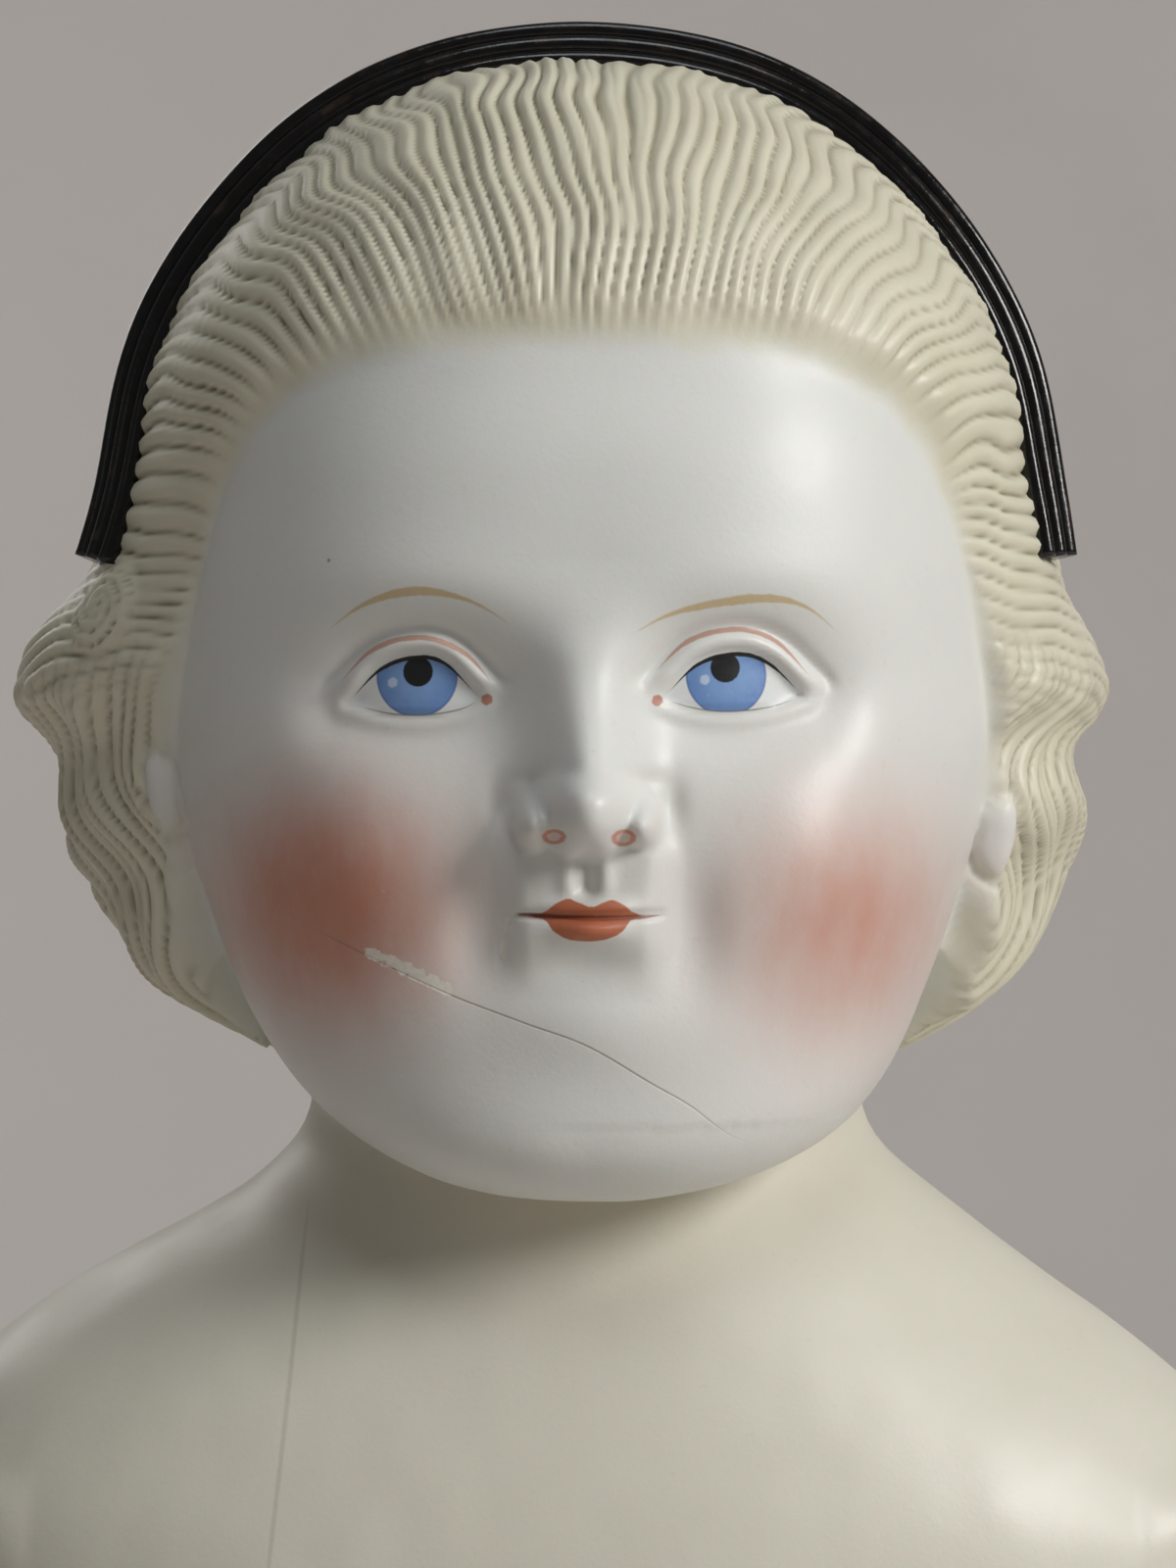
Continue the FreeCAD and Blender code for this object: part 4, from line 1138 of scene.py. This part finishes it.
def limb_bisque_paint():
    """The hands and legs: the same white bisque, with painted garters and black boots."""
    g = Paint("limb_bisque")
    blotch = g.noise(18.0)
    colour = g.mix(blotch, rgb(224, 221, 210), rgb(234, 232, 224))
    blush = g.math("MULTIPLY", g.read("weave", "x"), g.step(g.noise(2.5), 0.2, 0.8, 0.8, 1.1))
    colour = g.mix(g.math("MULTIPLY", blush, 0.5), colour, rgb(222, 150, 120))
    garter = g.read("weave", "y")
    colour = g.mix(g.step(garter, 0.4, 0.6, 0.0, 0.9), colour, g.mix(g.noise(1.5), rgb(92, 128, 186), rgb(116, 150, 202)))
    boot = g.math("ADD", g.read("weave", "z"), g.math("MULTIPLY", g.math("SUBTRACT", g.noise(1.0), 0.5), 0.05))
    is_boot = g.step(boot, 0.46, 0.54)
    worn = g.step(g.noise(1.8, 5.0, 0.65), 0.66, 0.74, 0.0, 0.6)
    black = g.mix(worn, g.mix(g.noise(3.0), rgb(20, 17, 16), rgb(34, 28, 26)), rgb(150, 138, 120))
    colour = g.mix(is_boot, colour, black)
    # painted shade between the fingers, in the wrist crease and where the legs' surface is pushed in
    colour = g.mix(g.step(g.read("fold"), 0.1, 0.9, 0.0, 0.4), colour, rgb(150, 134, 106))
    grime = g.step(g.noise(3.0, 5.0, 0.65), 0.58, 0.76, 0.0, 0.2)
    colour = g.mix(grime, colour, rgb(160, 144, 114))
    matt = g.step(g.noise(8.0), 0.3, 0.7, 0.44, 0.54)
    rough = g.math("SUBTRACT", matt, g.math("MULTIPLY", is_boot, 0.26))
    return g.finish(colour, rough, g.noise(0.5, 3.0), 0.035, Coat_Weight=0.15, Coat_Roughness=0.25,
                    Subsurface_Weight=0.08, Subsurface_Scale=0.0015)


COTTON, LINEN, LIMB_BISQUE = cotton_paint(), thread_paint("linen_thread", rgb(206, 192, 160), rgb(230, 220, 196)), limb_bisque_paint()


def centre(node):
    low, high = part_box(node)
    return (np.array(low) + np.array(high)) / 2 / MM


HIP, KNEE = centre("hip_seam_left"), centre("knee_seam_left")
SHOULDER, ELBOW = centre("shoulder_spread_seam_left"), centre("elbow_seam_left")
ELBOW_BEND, ARM_OUT = -45.5, -4.0


def at_hip(p):
    return turned_x(p, -90.0) + HIP


def at_knee(p):
    return turned_x(p, -90.0) + KNEE


def at_shoulder(p):
    return turned_y(p, ARM_OUT) + SHOULDER


def at_elbow(p):
    return turned_y(turned_x(p, ELBOW_BEND), ARM_OUT) + ELBOW


# ---- the torso ----------------------------------------------------------------------------------
TORSO = [
    (0.15, 42.0, -18.5, 29.5, 2.8), (1.0, 46.0, -20.6, 32.6, 3.0), (3.5, 49.0, -22.8, 35.6, 3.3),
    (12.0, 54.4, -28.8, 40.0, 3.8), (28.0, 54.2, -35.6, 41.0, 3.2), (52.0, 49.3, -36.8, 37.8, 2.6),
    (88.0, 42.8, -32.3, 31.8, 2.4), (118.0, 46.3, -31.8, 30.3, 2.4), (142.0, 51.3, -32.3, 29.3, 2.5),
    (156.0, 52.6, -32.0, 28.3, 2.5), (166.0, 50.2, -30.8, 27.3, 2.3), (176.0, 42.8, -26.8, 25.3, 2.2),
    (184.0, 31.8, -19.8, 19.8, 2.1), (188.5, 18.0, -11.0, 13.0, 2.0),
]


def make_torso():
    torso = Sleeve(TORSO, 330, 0.95, upward=True)
    off_seat = ramp(torso.s, 0.2, 7.0)
    under_plate = ramp(torso.s, 172.0, 160.0)
    before = torso.rings.copy()
    torso.lumps(20, 0.9, 2.3)
    # creases across the waist where the body bends to sit
    p = torso.rings
    front = ramp(p[..., 1], 4.0, -20.0)
    for z, depth, tilt in ((30.0, 1.0, 0.10), (43.0, 1.3, -0.08), (57.0, 0.8, 0.05), (96.0, 0.6, -0.12)):
        sag = z + tilt * p[..., 0] - 0.0022 * p[..., 0] ** 2
        wave = lattice_noise(p.reshape(-1, 3), 12.0, 31).reshape(sag.shape)
        off = p[..., 2] - sag - 2.6 * wave
        torso.swell(front * depth * (0.45 * np.exp(-(((off - 3.2) / 2.6) ** 2)) - np.exp(-((off / 1.3) ** 2))))
    torso.gathers(157.0, 11.0, 26, 0.7, 40)
    torso.rings = before + (torso.rings - before) * (off_seat * under_plate)[..., None]
    for t in (0.0, math.pi):
        torso.seam(t, 4.0, 158.0)
    torso.seam(math.pi / 2, 9.0, 158.0)
    piece = Piece()
    torso.into(piece, lambda p: p)
    obj = piece.make("torso_cloth", (COTTON, LINEN))
    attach(obj, "torso")
    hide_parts("torso_cover", "torso_stuffing")


# ---- cotton limbs -------------------------------------------------------------------------------
THIGH = [
    (0.0, 15.0, -1.1, 1.1, 2.1), (2.5, 16.2, -2.6, 2.4, 2.1), (7.0, 18.0, -6.1, 5.2, 2.1), (18.0, 19.9, -14.9, 9.6, 2.2),
    (36.0, 20.7, -25.9, 11.0, 2.2), (64.0, 20.1, -25.9, 11.0, 2.2), (90.0, 17.9, -21.4, 10.8, 2.1),
    (104.0, 16.4, -12.5, 5.1, 2.1), (111.0, 15.4, -6.7, 0.3, 2.1), (114.6, 13.8, -4.5, -2.2, 2.0),
]
CALF = [
    (0.0, 13.4, -1.1, 1.1, 2.1), (2.5, 14.0, -2.7, 2.7, 2.1), (7.0, 14.7, -5.5, 5.5, 2.1), (18.0, 14.9, -12.5, 12.5, 2.1),
    (30.0, 14.6, -14.3, 14.3, 2.0), (40.0, 14.0, -13.9, 13.9, 2.0), (46.0, 13.6, -13.6, 13.6, 2.0), (52.5, 13.7, -13.7, 13.7, 2.0),
]
UPPER_ARM = [
    (0.0, 1.0, -9.4, 9.4, 2.0), (2.4, 2.2, -10.0, 10.0, 2.0), (6.0, 4.3, -11.0, 11.0, 2.1), (15.0, 9.9, -11.9, 11.9, 2.1),
    (36.0, 11.5, -12.1, 12.1, 2.2), (58.0, 10.7, -10.9, 10.9, 2.2), (70.0, 10.1, -7.1, 7.1, 2.1),
    (76.0, 9.5, -3.1, 3.1, 2.1), (79.6, 8.7, -1.1, 1.1, 2.0),
]
FOREARM = [
    (0.0, 8.5, -1.0, 1.0, 2.0), (2.2, 8.9, -2.0, 2.0, 2.0), (5.0, 9.3, -3.8, 3.8, 2.1), (12.0, 9.9, -8.7, 8.7, 2.1),
    (20.0, 9.6, -9.6, 9.6, 2.0), (25.0, 9.4, -9.4, 9.4, 2.0), (31.5, 9.6, -9.6, 9.6, 2.0),
]


def soft_limb(name, side, sleeve, place, nodes, start, end):
    piece = Piece()
    sleeve.into(piece, place)
    obj = piece.make(f"{name}_{side[0]}", (COTTON, LINEN), side[1])
    flip = np.array((side[1], 1.0, 1.0)) * MM
    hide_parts(*[f"{node}_{side[0]}" for node in nodes])
    tuple(place(np.array(start, float)) * flip)
    tuple(place(np.array(end, float)) * flip)
    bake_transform(obj)


def make_soft_limbs(side):
    label, seed = side[0], 60 if side[1] > 0 else 90
    thigh = Sleeve(THIGH, 150)
    thigh.lumps(seed, 1.0)
    thigh.gathers(0.0, 12.0, 15, 1.0, seed + 1)
    thigh.gathers(115.0, 13.0, 13, 1.1, seed + 2)
    thigh.seam(math.pi / 2 - 0.5, 5.0, 110.0)
    soft_limb("thigh_cloth", side, thigh, at_hip, ("thigh_cover", "thigh_stuffing"), (0, 0, 3), (0, 0, -9))
    calf = Sleeve(CALF, 130)
    calf.lumps(seed + 4, 0.8)
    calf.gathers(0.0, 11.0, 12, 0.9, seed + 5)
    calf.gathers(47.0, 7.0, 22, 0.75, seed + 6)
    calf.tie(46.0, 1.7, 0.75)
    calf.seam(math.pi / 2, 5.0, 41.0)
    soft_limb("calf_cloth", side, calf, at_knee, ("calf_cover", "calf_stuffing"), (0, 0, 3), (0, 0, -8))
    upper = Sleeve(UPPER_ARM, 110, 0.7)
    upper.lumps(seed + 8, 0.75)
    upper.gathers(0.0, 10.0, 12, 0.7, seed + 9)
    upper.gathers(80.0, 10.0, 9, 0.8, seed + 10)
    upper.seam(math.pi / 2, 6.0, 76.0)
    soft_limb("upper_arm_cloth", side, upper, at_shoulder, ("upper_arm_cover", "upper_arm_stuffing"), (0, 0, 2), (0, 0, -8))
    fore = Sleeve(FOREARM, 100, 0.6)
    fore.lumps(seed + 12, 0.55)
    fore.gathers(0.0, 7.0, 9, 0.6, seed + 13)
    fore.gathers(25.5, 5.0, 20, 0.6, seed + 14)
    fore.tie(25.0, 1.5, 0.6)
    fore.seam(math.pi / 2, 4.0, 22.0)
    soft_limb("forearm_cloth", side, fore, at_elbow, ("forearm_cover", "forearm_stuffing"), (0, 0, 2), (0, 0, -7))


def make_gusset(side):
    """The cotton tab on which the arm hangs, quilted flat by a row of stitches."""
    low, high = (np.array(c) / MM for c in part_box("shoulder_gusset_left"))
    inner = low[0] - SHOULDER[0]
    rows = [(0.0, 0.9, -9.4, 9.4, 2.0), (-inner * 0.25, 2.0, -9.5, 9.5, 2.1), (-inner / 2, 3.2, -9.5, 9.5, 2.2), (-inner, 4.9, -8.9, 8.9, 2.2)]
    tab = Sleeve(rows, 90, 0.5)
    tab.lumps(side[1] * 7 + 130, 0.35)
    tab.gathers(0.0, 5.0, 9, 0.35, 131)

    def place(p):
        p = np.asarray(p, float)
        return np.stack([p[..., 2], p[..., 1], -p[..., 0]], axis=-1) + SHOULDER

    piece = Piece()
    tab.into(piece, place)
    obj = piece.make(f"shoulder_gusset_cloth_{side[0]}", (COTTON, LINEN), side[1])
    flip = np.array((side[1], 1.0, 1.0)) * MM
    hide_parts(f"shoulder_gusset_{side[0]}")
    tuple(place((0, 0, inner)) * flip)
    tuple(place((0, 0, inner / 2)) * flip)
    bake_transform(obj)


# ---- seams, ties and knots ----------------------------------------------------------------------
def thread_piece(name, side, paths, body, node, radius, mirror=1):
    piece = Piece()
    for path in paths:
        piece.add_rings(thread_rings(path, radius), 0)
    obj = piece.make(name, (LINEN,), mirror)
    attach(obj, body)
    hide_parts(node)


def whipped(middle, along, length, radius, turns):
    """A seam cord seen from outside: thread whipped round and round along a line."""
    along = np.asarray(along, float)
    one = np.cross(along, (0.0, 0.0, 1.0))
    one /= np.linalg.norm(one)
    two = np.cross(along, one)
    u = np.linspace(0, 1, int(turns * 14))
    angle = 2 * math.pi * turns * u
    uneven = 1 + 0.10 * np.sin(5.1 * u * turns) * np.sin(1.7 * u * turns)
    r = radius * uneven
    return middle + along * ((u - 0.5) * length)[:, None] + one * (r * np.cos(angle))[:, None] + two * (r * np.sin(angle))[:, None]


def tied(radius, s, turns, pitch, place, ends=True):
    """Thread wound round a limb and finished with a small knot at the front."""
    u = np.linspace(0, 1, turns * 90)
    angle = -math.pi / 2 + 2 * math.pi * turns * u
    wobble = 0.12 * np.sin(angle * 3.3)
    path = np.stack([radius * np.cos(angle), radius * np.sin(angle), -(s + (u - 0.5) * pitch * turns + wobble)], axis=1)
    paths = [place(path)]
    if ends:
        k = np.linspace(0, 2 * math.pi, 60)
        knot = np.stack([(1.0 + 0.45 * np.cos(3 * k)) * np.cos(2 * k), 0.55 * np.sin(3 * k), (1.0 + 0.45 * np.cos(3 * k)) * np.sin(2 * k)], axis=1)
        paths.append(place(knot + (0, -radius - 0.8, -s)))
        for way in (-1, 1):
            v = np.linspace(0, 1, 24)
            tail = np.stack([way * (0.6 + 3.6 * v), -radius - 0.9 + 0.6 * np.sin(v * 2.5) + 0.75 * v * v, -s - 5.0 * v**1.4], axis=1)
            paths.append(place(tail))
    return paths


def make_threads():
    for label, mirror in SIDES:
        def over(node, body, along, radius, gap=0.95):
            low, high = (np.array(c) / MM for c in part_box(f"{node}_left"))
            middle, length = (low + high) / 2, float(np.abs((high - low) @ np.abs(along)))
            core = whipped(middle, along, length - 2 * radius * 0.2, radius * 0.62, max(4, length / gap))
            thread_piece(f"{node}_thread_{label}", label, [core], body, f"{node}_{label}", radius * 0.42, mirror)

        out = math.radians(-ARM_OUT)
        over("hip_seam", "torso", np.array((1.0, 0, 0)), 1.3)
        over("knee_seam", f"thigh_{label}", np.array((1.0, 0, 0)), 1.3)
        over("elbow_seam", f"upper_arm_{label}", np.array((math.cos(out), 0, math.sin(out))), 1.3)
        over("shoulder_seam", "torso", np.array((1.0, 0, 0)), 2.0, 1.5)
        over("shoulder_spread_seam", f"shoulder_tab_{label}", np.array((0, 1.0, 0)), 1.3)
        thread_piece(f"leg_tie_{label}", label, tied(13.75, 46.0, 4, 1.15, at_knee), f"lower_leg_{label}", f"leg_binding_{label}", 0.55, mirror)
        thread_piece(f"arm_tie_{label}", label, tied(9.7, 25.0, 4, 1.1, at_elbow), f"forearm_{label}", f"arm_binding_{label}", 0.5, mirror)


SEW_X, SEW_Z = 24.0, 167.0


def make_plate_stitches(rings):
    """Doubled tape-like thread through the plate's four sew holes, each pair ending in a knot."""
    points = rings.reshape(-1, 3)
    tree = BVHTree.FromPolygons([Vector(p) for p in points.tolist()], grid_faces(*rings.shape[:2]).tolist())
    piece = Piece()
    for x in (-SEW_X, SEW_X):
        for y in (-80.0, 80.0):
            hit, normal, _, _ = tree.ray_cast(Vector((x, y, SEW_Z)), Vector((0, -math.copysign(1, y), 0)))
            base, out = np.array(hit), np.array(normal)
            out = out * math.copysign(1, out[1] * y)
            side = np.cross((0, 0, 1.0), out)
            side /= np.linalg.norm(side)
            up = np.cross(out, side)
            for turn, lift in ((0.35, 0.15), (1.85, 0.3), (2.75, 0.55)):
                d = side * math.cos(turn) + up * math.sin(turn)
                u = np.linspace(-1, 1, 22)
                path = base + d * (u * 2.5)[:, None] + out * (lift + 0.9 - 1.5 * np.abs(u) ** 3.0)[:, None]
                piece.add_rings(thread_rings(path, 0.55), 0)
            k = np.linspace(0, 2 * math.pi, 70)
            loop = (0.95 + 0.4 * np.cos(3 * k))[:, None] * (np.cos(2 * k)[:, None] * side + np.sin(2 * k)[:, None] * up)
            piece.add_rings(thread_rings(base + loop + out * (1.15 + 0.4 * np.sin(3 * k))[:, None], 0.45), 0)
    obj = piece.make("plate_stitches", (LINEN,))
    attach(obj, "torso")
    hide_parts("shoulder_stitches")


# ---- bisque limbs -------------------------------------------------------------------------------
LOWER_LEG = [
    (40.0, 11.6, -11.6, 11.6, 2.0), (48.0, 11.6, -11.6, 11.6, 2.0), (54.5, 11.8, -11.8, 11.8, 2.0), (58.5, 13.5, -13.5, 13.8, 2.0),
    (68.0, 14.2, -13.9, 14.7, 2.0), (84.0, 12.9, -12.5, 13.9, 2.0), (102.0, 9.7, -9.7, 10.1, 2.0), (118.0, 8.7, -9.1, 8.9, 2.0),
    (128.0, 8.9, -11.3, 9.5, 2.0), (136.0, 9.5, -18.9, 10.3, 2.05), (143.0, 10.1, -28.9, 10.7, 2.1), (147.5, 10.0, -32.9, 10.6, 2.2),
    (149.6, 9.6, -33.0, 10.2, 2.2), (150.8, 8.8, -32.2, 9.4, 2.2),
]
HAND = [
    (19.0, 7.5, -7.5, 7.5, 2.0), (26.0, 7.5, -7.5, 7.5, 2.0), (32.5, 7.7, -7.7, 7.7, 2.0), (35.5, 9.1, -9.1, 9.1, 2.0),
    (44.0, 9.2, -9.3, 9.3, 2.0), (56.0, 7.7, -8.1, 8.1, 2.0), (68.0, 5.2, -5.9, 5.9, 2.0), (74.0, 4.7, -5.9, 5.7, 2.0),
    (82.0, 4.1, -7.5, 6.9, 2.1), (88.0, 3.5, -7.8, 7.0, 2.2), (92.0, 2.4, -6.6, 5.8, 2.2),
]
FINGERS = [  # front to back, length, thickness, curl
    (-5.7, 10.3, 1.72, 1.7), (-2.2, 12.8, 1.8, 1.3), (1.4, 12.2, 1.75, 1.5), (4.8, 9.4, 1.6, 2.0),
]
BOOT_TOP, GARTER = 108.0, 63.0


def make_lower_leg(side):
    leg = Sleeve(LOWER_LEG, 150, 0.55)
    s, t = leg.s + 0 * leg.t, leg.t + 0 * leg.s
    x, y = leg.rings[..., 0], leg.rings[..., 1]
    scallop = BOOT_TOP + 2.4 * np.cos(t + math.pi / 2) + 0.8 * np.abs(np.sin(4 * t))
    in_boot = ramp(s, scallop - 0.35, scallop + 0.35)
    leg.swell(0.75 * in_boot)
    sole = ramp(s, 147.2, 147.9)
    leg.swell(0.5 * sole)
    garter = np.exp(-(((s - GARTER) / 1.6) ** 4))
    leg.swell(0.7 * garter)
    bow = np.exp(-((np.hypot(np.abs(x) - 2.8, (s - GARTER) * 1.1) / 2.4) ** 4)) * (y < 0)
    leg.swell(1.1 * bow)
    lace = np.exp(-(((np.abs(x) - 1.7) / 0.5) ** 2)) * (0.5 + 0.5 * np.cos(2 * math.pi * s / 3.2)) * (y < 0) * ramp(s, 110, 113) * ramp(s, 139, 134)
    leg.swell(0.5 * lace - 0.35 * np.exp(-((x / 0.5) ** 2)) * (y < 0) * ramp(s, 110, 113) * ramp(s, 139, 134))
    # the legs keep only a little of the painted shade in their hollows
    leg.fold *= 0.3
    pad = np.stack([0 * s, np.maximum(garter, bow) * (s < 80), in_boot], axis=2)
    piece = Piece()
    piece.add_rings(at_knee(leg.rings), 0, weave=pad.reshape(-1, 3), fold=leg.fold.ravel())
    rows = [(147.0, 6.6, -2.2, 9.4, 2.4), (150.0, 6.4, -1.9, 9.3, 2.4), (153.0, 6.0, -1.5, 9.2, 2.4), (154.5, 6.5, -2.0, 9.6, 2.4), (155.0, 6.1, -1.6, 9.2, 2.4)]
    heel = Sleeve(rows, 70, 0.4)
    black = np.tile((0.0, 0.0, 1.0), (heel.fold.size, 1))
    piece.add_rings(at_knee(heel.rings), 0, weave=black, fold=heel.fold.ravel())
    obj = piece.make(f"booted_leg_{side[0]}", (LIMB_BISQUE,), side[1])
    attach(obj, f"lower_leg_{side[0]}")
    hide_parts(f"bisque_lower_leg_{side[0]}")


def finger_rings(base, tip, radius, curl):
    """A tapering digit that bends towards the palm."""
    u = np.linspace(0, 1, 30)
    path = base + (tip - base) * u[:, None] + np.array((-1.0, 0, 0)) * (curl * u**2)[:, None]
    t = np.linspace(0, 2 * math.pi, 24, endpoint=False)
    along = np.gradient(path, axis=0)
    along /= np.linalg.norm(along, axis=1, keepdims=True)
    side = np.cross(along, (1.0, 0, 0))
    side /= np.linalg.norm(side, axis=1, keepdims=True)
    other = np.cross(along, side)
    knuckle = 1 + 0.07 * np.exp(-(((u - 0.45) / 0.07) ** 2)) + 0.05 * np.exp(-(((u - 0.75) / 0.06) ** 2))
    r = radius * (1.06 - 0.22 * u) * knuckle * np.sqrt(np.clip(1 - np.clip((u - 0.87) / 0.135, 0, 1) ** 2, 0.02, 1))
    return path[:, None] + side[:, None] * (r[:, None] * np.cos(t))[..., None] + other[:, None] * (r[:, None] * np.sin(t))[..., None]


def make_hand(side):
    arm = Sleeve(HAND, 96, 0.5)
    piece = Piece()
    piece.add_rings(arm.rings, 0)
    for y, length, radius, curl in FINGERS:
        piece.add_rings(finger_rings(np.array((0.4, y * 0.92, -86.0)), np.array((0.4, 1.06 * y, -91.0 - length)), radius, curl), 0)
    piece.add_rings(finger_rings(np.array((-0.6, -4.4, -76.5)), np.array((-1.8, -11.6, -89.0)), 2.05, 1.0), 0)
    obj = piece.make(f"bisque_hand_{side[0]}", (LIMB_BISQUE,))
    remesh = obj.modifiers.new("merge", "REMESH")
    remesh.mode, remesh.voxel_size, remesh.use_smooth_shade = "VOXEL", 0.42 * MM, True
    soften = obj.modifiers.new("soften", "SMOOTH")
    soften.factor, soften.iterations = 0.5, 4
    merged = bpy.data.meshes.new_from_object(obj.evaluated_get(bpy.context.evaluated_depsgraph_get()))
    obj.modifiers.clear()
    obj.data = merged
    p = np.array([v.co for v in merged.vertices]) / MM
    s = -p[:, 2]
    knuckles = sum(np.exp(-(((p[:, 1] - y) / 1.1) ** 2) - ((s - 89.5) / 1.6) ** 2) for y, *_ in FINGERS) * ramp(p[:, 0], 0.0, 2.0)
    fingertips = ramp(s, 97.0, 102.0)
    nails = sum(np.exp(-((((p[:, 1] - 1.06 * y) / 0.9) ** 2 + ((s - 89.2 - n) / 1.3) ** 2) ** 2)) for y, n, *_ in FINGERS) * (p[:, 0] > -0.6)
    # painted shade in the wrist crease and between the fingers
    wrist_crease_shade = np.exp(-(((s - 73.5) / 0.6) ** 2)) * 0.4
    finger_gap_shade = np.clip(sum(np.exp(-(((p[:, 1] - y) / 0.35) ** 2)) for y in (-3.95, -0.4, 3.1)) * ramp(s, 86.0, 90.0), 0, 1)
    merged.vertices.foreach_set("co", (at_elbow(p) * (side[1], 1, 1) * MM).ravel())
    if side[1] < 0:
        merged.flip_normals()
    attribute(obj, "weave", np.stack([0.5 * knuckles + 0.35 * fingertips + 0.6 * nails, 0 * s, 0 * s], axis=1))
    attribute(obj, "fold", 0.6 * finger_gap_shade + wrist_crease_shade)
    merged.polygons.foreach_set("use_smooth", [True] * len(merged.polygons))
    merged.update()
    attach(obj, f"forearm_{side[0]}")
    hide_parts(f"bisque_forearm_{side[0]}")


# ---- building -----------------------------------------------------------------------------------
add_camera()
add_lights()

head, head_rings = make_head()
head.data.materials.append(bisque_paint())
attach(head, "torso")
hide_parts("shoulder_head")

band = make_band(head_rings)
band.data.materials.append(glaze_paint())
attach(band, "torso")
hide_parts("hair_band")
make_plate_stitches(head_rings)
make_torso()
make_threads()
for side in SIDES:
    make_gusset(side)
    make_soft_limbs(side)
    make_lower_leg(side)
    make_hand(side)


def add_floor():
    """A plain floor that sweeps up behind the doll."""
    side = [(y, 0.0) for y in (-2500, -1200, -300, 200, 600)]
    side += [(600 + 500 * math.sin(t), 500 - 500 * math.cos(t)) for t in np.linspace(0.1, math.pi / 2, 14)]
    side += [(1100, 900), (1100, 2200)]
    points = [(x, y, z) for y, z in side for x in (-2500, 2500)]
    floor = as_object("floor", points, grid_faces(len(side), 2, wrap=False))
    g = Paint("studio_floor")
    colour = g.mix(g.noise(180.0), rgb(214, 208, 204), rgb(222, 217, 213))
    floor.data.materials.append(g.finish(colour, g.step(g.noise(60.0), 0.3, 0.7, 0.6, 0.75), g.noise(2.0), 0.05))


add_floor()
